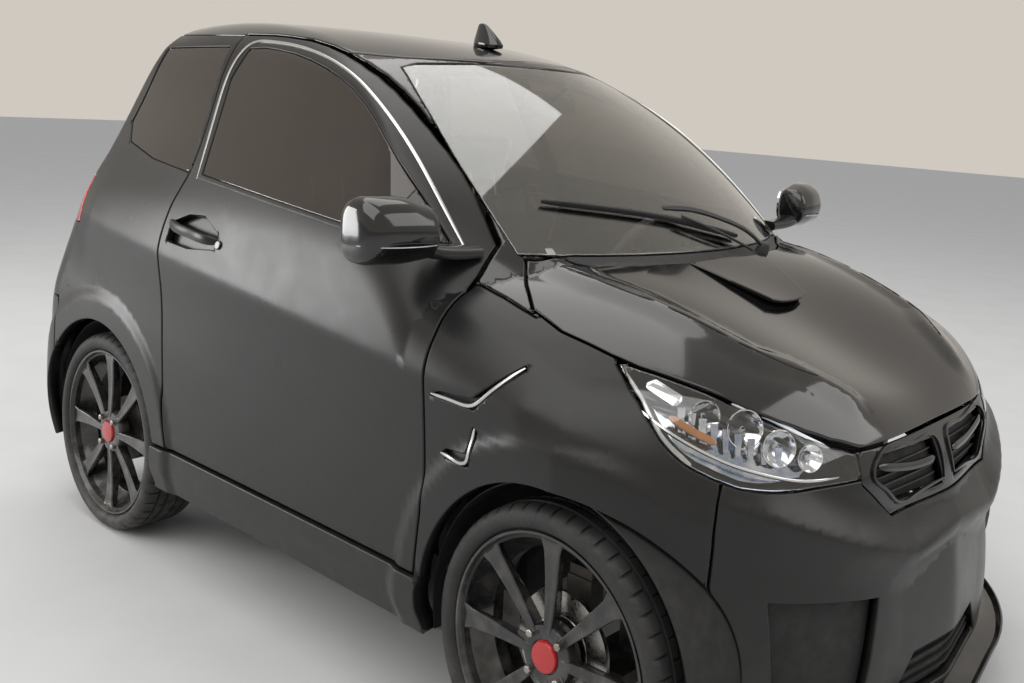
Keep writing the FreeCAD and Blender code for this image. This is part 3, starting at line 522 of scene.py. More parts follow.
for name, first, last, steps in (("screen", 7, 11, 3), ("screen", 0, 4, 3), ("door", 14, 19, 2), ("door", 5, 12, 2),
                                 ("doorGlass", 2, 9, 2), ("bonnet", 8, 14, 2), ("lamp", 0, 5, 2)):
    lines[name] = eased(lines[name], first, last, steps)


def fromFrontBoth(outline):
    # The same outline on both sides of the middle
    corners = np.array(outline) / 1000
    return lambda p: outlineDistance(corners, np.abs(p[..., 1]), p[..., 2])


def offMiddle(least):
    return lambda p: least - np.abs(p[..., 1])


door = fromSide(lines["door"])
doorGlass = both(fromSide(lines["doorGlass"]), offMiddle(0.18))
sail = both(fromSide(lines["sail"]), offMiddle(0.18))
quarterGlass = both(fromSide(lines["quarterGlass"]), offMiddle(0.18))
doorZone = both(door, offMiddle(0.18))
bonnetZone = both(fromTop(lines["bonnet"]), beyond(2, 692))
lampZone = both(fromSide(lines["lamp"]), offMiddle(0.318), outside(bonnetZone, gap))
grilleZone = both(fromFront(lines["grille"]), beyond(0, 1100))
grilleHole = both(fromFrontBoth(lines["grilleHole"]), beyond(0, 1100))
intakeHole = both(fromFront(lines["intake"]), beyond(0, 1100))
ductHole = both(fromFrontBoth(lines["duct"]), beyond(0, 1000))
screenZone = both(fromFront(lines["screen"]), beyond(0, -60))
hatchZone = both(fromFront(lines["hatch"]), beyond(0, -1062, -1))
hatchGlassZone = both(fromFront(lines["hatchGlass"]), beyond(0, -1062, -1))
roofZone = fromSide(lines["roof"])
tailLampZone = both(fromFrontBoth(lines["tailLamp"]), beyond(0, -1088, -1))
ventHoles = both(either(fromSide(lines["ventHigh"]), fromSide(lines["ventLow"])), offMiddle(0.5))
handleHole = both(fromSide(lines["handle"]), offMiddle(0.5))
plateHole = both(fromFront(lines["plate"]), beyond(0, -1180, -1))
arches = both(either(archZone(body["frontAxle"], 0.288, 0.322), archZone(body["rearAxle"], 0.288, 0.322)), offMiddle(0.30))
frontBumperBox = both(beyond(0, 1070), beyond(2, 687, -1))
rearBumperBox = both(beyond(0, -1180, -1), beyond(2, 636, -1))
wingZone = both(fromSide(lines["wing"]), offMiddle(0.2))
cowlZone = both(beyond(2, 990, -1), lambda p: np.abs(p[..., 1]) - 0.505)


# Materials


def newGroup(name, inputs, outputs):
    tree = bpy.data.node_groups.new(name, "ShaderNodeTree")
    for label, kind, value in inputs:
        socket = tree.interface.new_socket(label, in_out="INPUT", socket_type=kind)
        socket.default_value = value
    for label, kind in outputs:
        tree.interface.new_socket(label, in_out="OUTPUT", socket_type=kind)
    return tree, tree.nodes.new("NodeGroupInput"), tree.nodes.new("NodeGroupOutput")


def addNode(tree, kind, values=(), operation=None):
    # A node with some of its inputs set
    node = tree.nodes.new(kind)
    for label, value in dict(values).items():
        node.inputs[label].default_value = value
    if operation:
        node.operation = operation
    return node


def wire(tree, *rows):
    # Each row joins an output of one node to an input of another
    for start, output, end, entry in rows:
        tree.links.new(start.outputs[output], end.inputs[entry])


def cloudsGroup():
    # Soft patches between 0 and 1, fixed to the piece
    tree, given, result = newGroup("clouds", [("Scale", "NodeSocketFloat", 4.0), ("Low", "NodeSocketFloat", 0.4),
                                              ("High", "NodeSocketFloat", 0.65)], [("Mask", "NodeSocketFloat")])
    place = addNode(tree, "ShaderNodeTexCoord")
    noise = addNode(tree, "ShaderNodeTexNoise", {"Detail": 5})
    span = addNode(tree, "ShaderNodeMapRange")
    wire(tree, (place, "Object", noise, "Vector"), (given, "Scale", noise, "Scale"), (noise, "Fac", span, "Value"),
         (given, "Low", span, "From Min"), (given, "High", span, "From Max"), (span, "Result", result, "Mask"))
    return tree


def grainGroup():
    # Fine uneven grain as a normal
    tree, given, result = newGroup("grain", [("Scale", "NodeSocketFloat", 400.0), ("Strength", "NodeSocketFloat", 0.1)],
                                   [("Normal", "NodeSocketVector")])
    place = addNode(tree, "ShaderNodeTexCoord")
    noise = addNode(tree, "ShaderNodeTexNoise", {"Detail": 3})
    bump = addNode(tree, "ShaderNodeBump", {"Distance": 0.001})
    wire(tree, (place, "Object", noise, "Vector"), (given, "Scale", noise, "Scale"), (noise, "Fac", bump, "Height"),
         (given, "Strength", bump, "Strength"), (bump, "Normal", result, "Normal"))
    return tree


def dustGroup():
    # Dust in patches, thicker low down
    tree, given, result = newGroup("dust", [("Amount", "NodeSocketFloat", 0.3), ("Height", "NodeSocketFloat", 0.45)],
                                   [("Mask", "NodeSocketFloat")])
    place = addNode(tree, "ShaderNodeTexCoord")
    split = addNode(tree, "ShaderNodeSeparateXYZ")
    low = addNode(tree, "ShaderNodeMapRange", {"To Min": 1, "To Max": 0})
    noise = addNode(tree, "ShaderNodeTexNoise", {"Scale": 26, "Detail": 8})
    spread = addNode(tree, "ShaderNodeMapRange", {"From Min": 0.42, "From Max": 0.72})
    lowPatches = addNode(tree, "ShaderNodeMath", operation="MULTIPLY")
    amount = addNode(tree, "ShaderNodeMath", operation="MULTIPLY")
    wire(tree, (place, "Object", split, "Vector"), (split, "Z", low, "Value"), (given, "Height", low, "From Max"),
         (place, "Object", noise, "Vector"), (noise, "Fac", spread, "Value"), (low, "Result", lowPatches, 0),
         (spread, "Result", lowPatches, 1), (lowPatches, "Value", amount, 0), (given, "Amount", amount, 1),
         (amount, "Value", result, "Mask"))
    return tree


groups = {"clouds": cloudsGroup(), "grain": grainGroup(), "dust": dustGroup()}
dustColour = (0.22, 0.20, 0.17)


def addGroup(tree, name, **values):
    node = tree.nodes.new("ShaderNodeGroup")
    node.node_tree = groups[name]
    for label, value in values.items():
        node.inputs[label].default_value = value
    return node


def mixColour(tree, mask, first, second):
    mix = tree.nodes.new("ShaderNodeMix")
    mix.data_type = "RGBA"
    tree.links.new(mask, mix.inputs["Factor"])
    for socket, value in ((mix.inputs[6], first), (mix.inputs[7], second)):
        if isinstance(value, tuple):
            socket.default_value = (*value, 1)
        else:
            tree.links.new(value, socket)
    return mix.outputs[2]


def finishOf(name, colour, second, rough, spread=0.05, metal=0.0, coat=0.0, grain=(400, 0.1), patch=4.0, dust=0.0,
             dustHeight=0.45, sheen=0.0, transmission=0.0, shine=0.5, bend=1.5):
    # Two colours in soft patches, with uneven roughness, grain and dust
    made = bpy.data.materials.new(name)
    made.use_nodes = True
    tree = made.node_tree
    shader = tree.nodes["Principled BSDF"]
    for label, value in (("Metallic", metal), ("Coat Weight", coat), ("Coat Roughness", 0.03), ("Sheen Weight", sheen),
                         ("Transmission Weight", transmission), ("Specular IOR Level", shine), ("IOR", bend)):
        shader.inputs[label].default_value = value
    clouds = addGroup(tree, "clouds", Scale=patch)
    base = mixColour(tree, clouds.outputs["Mask"], colour, second)
    fine = addGroup(tree, "clouds", Scale=patch * 9, Low=0.3, High=0.7)
    if dust:
        settled = addGroup(tree, "dust", Amount=dust, Height=dustHeight)
        base = mixColour(tree, settled.outputs["Mask"], base, dustColour)
    tree.links.new(base, shader.inputs["Base Color"])
    rub = addNode(tree, "ShaderNodeMapRange", {"To Min": rough - spread, "To Max": rough + spread})
    wire(tree, (fine, "Mask", rub, "Value"), (rub, "Result", shader, "Roughness"))
    if grain:
        texture = addGroup(tree, "grain", Scale=float(grain[0]), Strength=grain[1])
        wire(tree, (texture, "Normal", shader, "Normal"))
    return made


def weaveOf(name, colour, second):
    # Woven cloth: two crossed sets of threads
    made = finishOf(name, colour, second, 0.85, sheen=0.25, grain=None)
    tree = made.node_tree
    place = addNode(tree, "ShaderNodeTexCoord")
    height = addNode(tree, "ShaderNodeMath")
    for index, turn in enumerate((0.0, math.pi / 2)):
        mapping = addNode(tree, "ShaderNodeMapping", {"Rotation": (0.3, 0.2, turn)})
        wave = addNode(tree, "ShaderNodeTexWave", {"Scale": 160, "Distortion": 0.6})
        wire(tree, (place, "Object", mapping, "Vector"), (mapping, "Vector", wave, "Vector"), (wave, "Fac", height, index))
    bump = addNode(tree, "ShaderNodeBump", {"Strength": 0.35, "Distance": 0.001})
    wire(tree, (height, "Value", bump, "Height"), (bump, "Normal", tree.nodes["Principled BSDF"], "Normal"))
    return made


matt = finishOf("mattPaint", (0.0105, 0.0102, 0.0100), (0.0145, 0.0140, 0.0135), 0.30, 0.03, grain=(900, 0.05),
                patch=1.6, dust=0.12, shine=0.36)
gloss = finishOf("glossPaint", (0.0045, 0.0045, 0.005), (0.007, 0.007, 0.0075), 0.11, 0.02, coat=0.5,
                 grain=(60, 0.006), patch=2.0)
darkGlass = finishOf("darkGlass", (0.10, 0.075, 0.055), (0.12, 0.09, 0.065), 0.03, 0.015, grain=(8, 0.004),
                     transmission=0.85, bend=1.6)
clearGlass = finishOf("clearGlass", (0.86, 0.88, 0.86), (0.90, 0.91, 0.89), 0.02, 0.01, grain=(8, 0.003),
                      transmission=1.0, bend=1.85)
lensGlass = finishOf("lensGlass", (0.95, 0.96, 0.97), (0.92, 0.94, 0.95), 0.02, 0.01, grain=(30, 0.004), transmission=1.0)
redGlass = finishOf("redGlass", (0.45, 0.010, 0.012), (0.34, 0.008, 0.010), 0.08, 0.03, coat=0.6, grain=(90, 0.08))
orange = finishOf("orangeGlass", (0.62, 0.24, 0.07), (0.42, 0.15, 0.04), 0.15, 0.05, coat=0.5, grain=(150, 0.08))
chrome = finishOf("lampChrome", (0.80, 0.81, 0.83), (0.70, 0.71, 0.74), 0.10, 0.04, metal=1.0, grain=(120, 0.02))
# Reflector facets: the silver patches are the metal's own colour, and the blue patches are painted reflection
facetsPaintedReflection = finishOf("lampFacetsPaintedReflection", (0.34, 0.40, 0.50), (0.78, 0.79, 0.80), 0.12, 0.06, metal=1.0, grain=(38, 0.9), patch=16)
bright = finishOf("brightTrim", (0.62, 0.62, 0.61), (0.50, 0.50, 0.50), 0.22, 0.06, metal=0.9, grain=(300, 0.03), dust=0.2)
light = finishOf("lightLine", (0.80, 0.82, 0.84), (0.72, 0.74, 0.77), 0.2, 0.05, coat=0.6, grain=(200, 0.03))
plastic = finishOf("blackPlastic", (0.016, 0.016, 0.017), (0.024, 0.024, 0.024), 0.48, 0.08, grain=(1100, 0.22),
                   patch=5, dust=0.35)
glossPlastic = finishOf("glossPlastic", (0.006, 0.006, 0.0065), (0.010, 0.010, 0.0105), 0.18, 0.05, coat=0.3,
                        grain=(200, 0.03), dust=0.15)
shadow = finishOf("shadowPlastic", (0.006, 0.006, 0.006), (0.010, 0.010, 0.010), 0.7, 0.1, grain=(500, 0.2))
wheelPaint = finishOf("wheelBlack", (0.012, 0.012, 0.013), (0.022, 0.021, 0.020), 0.24, 0.07, coat=0.3,
                      grain=(500, 0.05), dust=0.5, dustHeight=0.60)
rubber = finishOf("tyreRubber", (0.013, 0.013, 0.013), (0.022, 0.021, 0.020), 0.66, 0.08, grain=(700, 0.25), patch=14,
                  dust=0.3, dustHeight=0.30)
steel = finishOf("bareSteel", (0.40, 0.39, 0.37), (0.28, 0.26, 0.24), 0.32, 0.12, metal=1.0, grain=(350, 0.12), patch=20)
ironDark = finishOf("framePaint", (0.020, 0.020, 0.021), (0.050, 0.040, 0.032), 0.55, 0.12, grain=(300, 0.3), patch=9, dust=0.6)
engineMetal = finishOf("engineMetal", (0.24, 0.24, 0.24), (0.14, 0.13, 0.12), 0.45, 0.12, metal=0.8, grain=(220, 0.35), patch=12)
redPaint = finishOf("redCap", (0.42, 0.012, 0.014), (0.34, 0.010, 0.012), 0.25, 0.06, coat=0.5, grain=(300, 0.04))
carpet = finishOf("carpet", (0.020, 0.020, 0.021), (0.035, 0.034, 0.034), 0.92, 0.05, grain=(1400, 0.3), patch=12, sheen=0.2)
dashSkin = finishOf("dashSkin", (0.022, 0.022, 0.023), (0.032, 0.031, 0.031), 0.58, 0.08, grain=(800, 0.12), patch=6)
leather = finishOf("rimLeather", (0.018, 0.018, 0.018), (0.028, 0.027, 0.026), 0.42, 0.08, grain=(600, 0.4), patch=12)
plateWhite = finishOf("blankPlate", (0.74, 0.74, 0.72), (0.66, 0.66, 0.64), 0.35, 0.06, grain=(250, 0.04), dust=0.3)
seatCloth = weaveOf("seatCloth", (0.030, 0.030, 0.032), (0.050, 0.049, 0.050))
seatSide = finishOf("seatSide", (0.016, 0.016, 0.017), (0.026, 0.025, 0.025), 0.5, 0.08, grain=(500, 0.45), patch=9)
mirrorGlass = finishOf("mirrorGlass", (0.72, 0.74, 0.76), (0.66, 0.68, 0.70), 0.04, 0.02, metal=1.0, grain=(20, 0.003))


# Shapes


def loft(rings, caps=True, closed=False):
    # Skin over rings of equal length; closed joins the last ring to the first
    rings = np.asarray(rings, dtype=float)
    rows, count = rings.shape[:2]
    faces = []
    for r in range(rows if closed else rows - 1):
        a, b = r * count, (r + 1) % rows * count
        for i in range(count):
            j = (i + 1) % count
            faces.append([a + i, a + j, b + j, b + i])
    if caps and not closed:
        faces.append(list(range(count))[::-1])
        faces.append([(rows - 1) * count + i for i in range(count)])
    return rings.reshape(-1, 3), faces


def lathe(profile, middle, steps=64, axis=1):
    # profile is (radius, along), turned round the axis through middle
    angles = np.arange(steps) * 2 * math.pi / steps
    rings = []
    for angle in angles:
        ring = np.zeros((len(profile), 3))
        ring[:, axis] = [along for radius, along in profile]
        ring[:, (axis + 1) % 3] = [radius * math.cos(angle) for radius, along in profile]
        ring[:, (axis + 2) % 3] = [radius * math.sin(angle) for radius, along in profile]
        rings.append(ring + np.asarray(middle))
    rings = np.stack(rings, 1)
    return loft(rings, caps=False)


def aimed(points, direction, middle):
    # Points built round Z turned so that Z looks along direction
    turn = Vector((0, 0, 1)).rotation_difference(Vector(direction)).to_matrix()
    return np.asarray(points) @ np.array(turn).T + np.asarray(middle)


def oval(width, height, steps=16, power=2.6):
    angles = np.arange(steps) * 2 * math.pi / steps
    c, s = np.cos(angles), np.sin(angles)
    return np.stack([np.sign(c) * np.abs(c) ** (2 / power) * width / 2,
                     np.sign(s) * np.abs(s) ** (2 / power) * height / 2], -1)


def smoothPath(path, count):
    # Points evenly along a spline through the path
    path = np.asarray(path, dtype=float)
    along = np.concatenate([[0], np.cumsum(np.linalg.norm(np.diff(path, axis=0), axis=1))])
    bends = splineBends(along, path)
    return splineAt(along, path, bends, np.linspace(0, along[-1], count))


def sidePoint(x, z, side):
    # Point of the body surface at x, z on one side
    low, high = 0.02, 0.80
    for _ in range(26):
        y = (low + high) / 2
        if bodyDistance(np.array([[x, y, z]]))[0] < 0:
            low = y
        else:
            high = y
    return (x, side * low, z)


def under(point, depth):
    # The nearest point of the body surface, moved in by the depth
    point = ontoBody(np.array([point], dtype=float), 4)
    return (point - bodyNormals(point) * depth)[0]


def freshMesh(item):
    # The item's shape with its modifiers applied
    shapes = bpy.context.evaluated_depsgraph_get()
    return bpy.data.meshes.new_from_object(item.evaluated_get(shapes))


def shaded(mesh, sharp):
    # Smooth, but for the edges over the angle
    mesh.polygons.foreach_set("use_smooth", [True] * len(mesh.polygons))
    mesh.set_sharp_from_angle(angle=math.radians(sharp))


def pointsOf(mesh):
    points = np.empty(len(mesh.vertices) * 3)
    mesh.vertices.foreach_get("co", points)
    return points.reshape(-1, 3)


def clean(item, sharp=35, bevel=0.0, segments=2, levels=0):
    # Applies bevel and subdivision, and marks sharp edges
    if bevel:
        edge = item.modifiers.new("edges", "BEVEL")
        edge.width = bevel
        edge.segments = segments
        edge.limit_method = "ANGLE"
        edge.angle_limit = math.radians(30)
    if levels:
        smooth = item.modifiers.new("smooth", "SUBSURF")
        smooth.levels = levels
    if bevel or levels:
        mesh = freshMesh(item)
        item.modifiers.clear()
        old = item.data
        item.data = mesh
        mesh.name = old.name
    shaded(item.data, sharp)
    return item


def outwards(mesh):
    shape = bmesh.new()
    shape.from_mesh(mesh)
    bmesh.ops.recalc_face_normals(shape, faces=shape.faces)
    shape.to_mesh(mesh)
    shape.free()


def piece(name, shape, material, rides, stands=(), sharp=35, bevel=0.0, segments=2, levels=0):
    points, faces = shape
    item = meshObject(name, points, faces, material=material)
    outwards(item.data)
    clean(item, sharp, bevel, segments, levels)
    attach(item, rides)
    if stands:
        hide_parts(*stands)
    return item


def bar(path, width, height, steps=48, power=2.6, up=(0, 0, 1), taper=0.0):
    # A bar of oval section along a path; up gives the direction of its height, one for all points or one each
    points = smoothPath(path, steps)
    run = np.gradient(points, axis=0)
    run /= np.linalg.norm(run, axis=1)[:, None]
    across = np.cross(run, np.broadcast_to(np.asarray(up, dtype=float), (steps, 3)))
    across /= np.linalg.norm(across, axis=1)[:, None]
    rise = np.cross(across, run)
    section = oval(width, height, 12, power)
    share = np.linspace(0, 1, steps)
    narrow = 1 - taper * np.clip(1 - 8 * np.minimum(share, 1 - share), 0, 1) ** 2
    rings = [points[i] + narrow[i] * (section[:, :1] * across[i] + section[:, 1:] * rise[i]) for i in range(steps)]
    return loft(rings)


def strip(path, width, height, steps=60, sunk=0.0):
    # A trim strip lying on the body surface
    points = ontoBody(smoothPath(path, steps), 4)
    rise = bodyNormals(points)
    return bar(points - rise * sunk, width, height, steps, 4.0, rise, 0.6)


def mirrorY(points):
    return [(x, -y, z) for x, y, z in points]


def aroundGroup():
    # Repeats a shape round the Y axis
    tree = bpy.data.node_groups.new("around", "GeometryNodeTree")
    tree.interface.new_socket("Geometry", in_out="INPUT", socket_type="NodeSocketGeometry")
    count = tree.interface.new_socket("Count", in_out="INPUT", socket_type="NodeSocketInt")
    material = tree.interface.new_socket("Material", in_out="INPUT", socket_type="NodeSocketMaterial")
    tree.interface.new_socket("Geometry", in_out="OUTPUT", socket_type="NodeSocketGeometry")
    given, result = addNode(tree, "NodeGroupInput"), addNode(tree, "NodeGroupOutput")
    points = addNode(tree, "GeometryNodePoints")
    index = addNode(tree, "GeometryNodeInputIndex")
    share = addNode(tree, "ShaderNodeMath", operation="DIVIDE")
    angle = addNode(tree, "ShaderNodeMath", {1: 2 * math.pi}, "MULTIPLY")
    turn = addNode(tree, "FunctionNodeAxisAngleToRotation", {"Axis": (0, 1, 0)})
    copies = addNode(tree, "GeometryNodeInstanceOnPoints")
    real = addNode(tree, "GeometryNodeRealizeInstances")
    merge = addNode(tree, "GeometryNodeMergeByDistance", {"Distance": 0.0002})
    paint = addNode(tree, "GeometryNodeSetMaterial")
    wire(tree, (given, "Count", points, "Count"), (index, "Index", share, 0), (given, "Count", share, 1),
         (share, "Value", angle, 0), (angle, "Value", turn, "Angle"), (points, 0, copies, "Points"),
         (given, "Geometry", copies, "Instance"), (turn, "Rotation", copies, "Rotation"),
         (copies, "Instances", real, "Geometry"), (real, "Geometry", merge, "Geometry"),
         (merge, "Geometry", paint, "Geometry"), (given, "Material", paint, "Material"),
         (paint, "Geometry", result, "Geometry"))
    return tree, count.identifier, material.identifier


around, aroundCount, aroundMaterial = aroundGroup()


def repeated(name, shape, count, material, sharp=35, bevel=0.0):
    # One pitch of a shape repeated round the Y axis, as a plain mesh
    points, faces = shape
    item = meshObject(name, points, faces, material=material)
    if bevel:
        clean(item, sharp, bevel, 2)
    turned = item.modifiers.new("around", "NODES")
    turned.node_group = around
    turned[aroundCount] = count
    turned[aroundMaterial] = material
    item.data.update()
    mesh = freshMesh(item)
    bpy.data.objects.remove(item)
    outwards(mesh)
    shaded(mesh, sharp)
    mesh.name = name
    return mesh


def placed(name, mesh, middle, flip, rides, stands=()):
    # A copy of a mesh moved to its place, mirrored to the right side when flip is set
    copy = mesh.copy()
    copy.name = name
    points = pointsOf(copy)
    if flip:
        points[:, 1] *= -1
    copy.vertices.foreach_set("co", (points + np.asarray(middle)).ravel())
    if flip:
        copy.flip_normals()
    copy.update()
    item = newItem(name, copy)
    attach(item, rides)
    if stands:
        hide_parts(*stands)
    return item


# Body panels

panels = []
for side, name in sides:
    panels += [
        ("door_" + name, both(door, onSide(side), outside(doorGlass), outside(handleHole)), 0.040, matt, "door_" + name,
         "door_" + name, 0),
        ("door_glass_" + name, both(grown(doorGlass, -0.0005), onSide(side), outside(sail)), 0.005, darkGlass, "door_" + name,
         "door_glass_" + name, 0.003),
        ("door_sail_" + name, both(sail, onSide(side)), 0.006, glossPlastic, "door_" + name, None, 0.001),
        ("handle_cup_" + name, both(grown(handleHole, 0.002), onSide(side)), 0.006, matt, "door_" + name, None, 0.020),
        ("fender_" + name, both(onSide(side, 0), wingZone, outside(doorZone, gap), beyond(2, 333),
                                outside(bonnetZone, gap), outside(lampZone, 0.002), outside(arches), outside(ventHoles),
                                outside(frontBumperBox, 0.002), outside(grilleZone, 0.002)),
         0.030, matt, "body", "fender_" + name, 0),
        ("vent_" + name, both(grown(ventHoles, 0.002), onSide(side)), 0.006, plastic, "body", None, 0.014),
        ("quarter_" + name, both(onSide(side, 0), beyond(0, -331, -1), beyond(2, 338), beyond(2, 1424, -1),
                                 outside(doorZone, gap), outside(arches), outside(hatchZone, gap), outside(tailLampZone, 0.002),
                                 outside(roofZone, 0.001), outside(quarterGlass), outside(rearBumperBox, 0.003)),
         0.030, matt, "body", "quarter_" + name, 0),
    ]
panels += [
    ("side_skirts", both(beyond(0, -920), beyond(0, 800, -1), beyond(2, 212), beyond(2, 333, -1), outside(arches)),
     0.040, matt, "body", "side_skirts", 0),
    ("quarter_glass", grown(quarterGlass, -0.0005), 0.005, darkGlass, "body", "quarter_glass", 0.003),
    ("bonnet", bonnetZone, 0.020, gloss, "bonnet", "bonnet", 0),
    ("roof_panel", both(roofZone, outside(hatchZone, gap), outside(doorZone, gap)), 0.030, gloss, "body", "roof_panel", 0),
    ("screen_frame", both(beyond(0, -200), beyond(0, 900, -1), beyond(2, 860), outside(doorZone, gap), outside(bonnetZone, gap),
                          outside(screenZone), outside(roofZone, 0.001), outside(wingZone, 0.001), outside(cowlZone, 0.001)),
     0.030, gloss, "body", "screen_frame", 0),
    ("cowl", both(beyond(0, 400), beyond(0, 900, -1), outside(bonnetZone, gap), outside(screenZone), outside(wingZone, 0.001),
                  outside(doorZone, gap), cowlZone), 0.012, plastic, "body", "screen_frame", 0.003),
    ("windscreen", grown(screenZone, -0.0005), 0.006, clearGlass, "body", "windscreen", 0.001),
    ("tailgate", both(hatchZone, outside(hatchGlassZone)), 0.030, matt, "tailgate", "tailgate", 0),
    ("tailgate_glass", grown(hatchGlassZone, -0.0005), 0.005, darkGlass, "tailgate", "tailgate_glass", 0.002),
    ("rear_bumper", both(rearBumperBox, beyond(2, 200), outside(arches), outside(hatchZone, gap), outside(plateHole)), 0.030,
     matt, "body", "rear_bumper", 0),
    ("plate_recess", grown(plateHole, 0.002), 0.006, plastic, "body", None, 0.021),
    ("tail_lamps", grown(tailLampZone, -0.001), 0.030, redGlass, "body", "tail_lamps", 0),
    ("front_bumper", both(frontBumperBox, beyond(2, 150), outside(arches), outside(lampZone, 0.002),
                          outside(grilleZone, 0.002), outside(bonnetZone, gap), outside(intakeHole), outside(ductHole)),
     0.022, matt, "body", "front_bumper", 0),
    ("intake", grown(intakeHole, 0.002), 0.006, plastic, "body", None, 0.020),
    ("ducts", grown(ductHole, 0.002), 0.006, shadow, "body", None, 0.022),
    ("grille_band", both(grown(grilleZone, -0.001), outside(grilleHole)), 0.014, glossPlastic, "body", "grille_band", 0.003),
    ("grille_mesh", grown(grilleHole, 0.002), 0.005, shadow, "body", None, 0.024),
    ("headlamp_lenses", grown(lampZone, -0.001), 0.003, lensGlass, "body", "headlamp_lenses", 0.001),
    ("headlamp_housings", grown(lampZone, 0.001), 0.004, shadow, "body", "headlamp_housings", 0.050),
    ("lamp_reflector", both(grown(lampZone, -0.014), beyond(0, 905), beyond(0, 1168, -1)), 0.003, facetsPaintedReflection, "body", None, 0.040),
]


def skirtLift(points):
    # The skirts stand out most just below their upper edge
    height = points[:, 2]
    return (0.013 * ramp(height, 0.215, 0.285) * (1 - 0.35 * ramp(height, 0.305, 0.333))
            * ramp(np.abs(points[:, 1]), 0.5, 0.6))


for name, zone, thickness, material, rides, replaced, sunk in panels:
    item = panel("skin_" + name, zone, thickness, material, sunk=sunk, lift=skirtLift if name == "side_skirts" else None)
    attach(item, rides)
    if replaced:
        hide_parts(replaced)
print("panels", len(panels))

scoop = {"start": 0.672, "length": 0.17, "inset": 0.006}
for name, inset, material, low, high in (("scoop_plate", 0, gloss, 0.004, 0.014),
                                         ("scoop_foot", scoop["inset"], shadow, 0.001, 0.010)):
    item = panel(name, both(grown(fromTop(lines["scoop"]), -inset), beyond(2, 800)), 0.004, material,
                 lift=lambda p: low + high * np.clip((p[:, 0] - scoop["start"]) / scoop["length"], 0, 1))
    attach(item, "bonnet")

# Trim along the body

trim = {
    "door_top": [(-0.506, 1.044), (-0.540, 1.184), (-0.563, 1.303), (-0.556, 1.371), (-0.532, 1.402), (-0.477, 1.408),
                 (-0.335, 1.395), (-0.186, 1.362), (-0.048, 1.314), (0.087, 1.244), (0.224, 1.150), (0.324, 1.066),
                 (0.421, 0.975)],
    "waist": [(-0.500, 1.048), (-0.289, 1.032), (-0.109, 1.017), (0.053, 1.004), (0.260, 0.990), (0.392, 0.980)],
    "vent_high": [(0.500, 0.719), (0.570, 0.718), (0.616, 0.721), (0.655, 0.754), (0.699, 0.801)],
    "vent_low": [(0.526, 0.605), (0.570, 0.604), (0.606, 0.608), (0.617, 0.645), (0.623, 0.678)],
}
slits = [[(0.60, 0.452, 0.94), (0.70, 0.440, 0.92), (0.78, 0.421, 0.90)],
         [(0.81, 0.415, 0.89), (0.89, 0.400, 0.875), (0.94, 0.390, 0.86)],
         [(0.96, 0.385, 0.85), (1.01, 0.365, 0.84), (1.09, 0.300, 0.80)]]
# Length, height and how far out, for points along the handle
handle = {"path": [(-0.552, 0.930, -0.004), (-0.50, 0.924, 0.009), (-0.42, 0.918, 0.012), (-0.335, 0.912, 0.009),
                   (-0.312, 0.910, -0.004)], "width": 0.016, "height": 0.026, "lock": (-0.300, 0.903)}
for side, name in sides:
    doorBody = "door_" + name
    for label, width, steps, material, rides in (
            ("door_top", 0.009, 120, bright, doorBody), ("waist", 0.008, 60, plastic, doorBody),
            ("vent_high", 0.007, 24, bright, "body"), ("vent_low", 0.007, 20, bright, "body")):
        path = [sidePoint(x, z, side) for x, z in trim[label]]
        piece("trim_%s_%s" % (label, name), strip(path, width, 0.006, steps), material, rides)
    for index, slit in enumerate(slits):
        path = slit if side > 0 else mirrorY(slit)
        piece("bonnet_slit_%s_%d" % (name, index), strip(path, 0.005, 0.002, 30), shadow, "bonnet")
    grip = [np.array(sidePoint(x, z, side)) + (0, side * out, 0) for x, z, out in handle["path"]]
    piece("door_handle_" + name, bar(grip, handle["width"], handle["height"], 40, 3.0, (0, 0, 1), 0.5), matt, doorBody)
    lock = under(sidePoint(*handle["lock"], side), -0.001)
    normal = bodyNormals(np.array([lock]))[0]
    points, faces = lathe([(0.0, 0.004), (0.009, 0.004), (0.011, 0.002), (0.011, -0.006), (0.0, -0.006)], (0, 0, 0), 24, 2)
    piece("door_lock_" + name, (aimed(points, normal, lock), faces), glossPlastic, doorBody)
print("trim")

# Mirrors

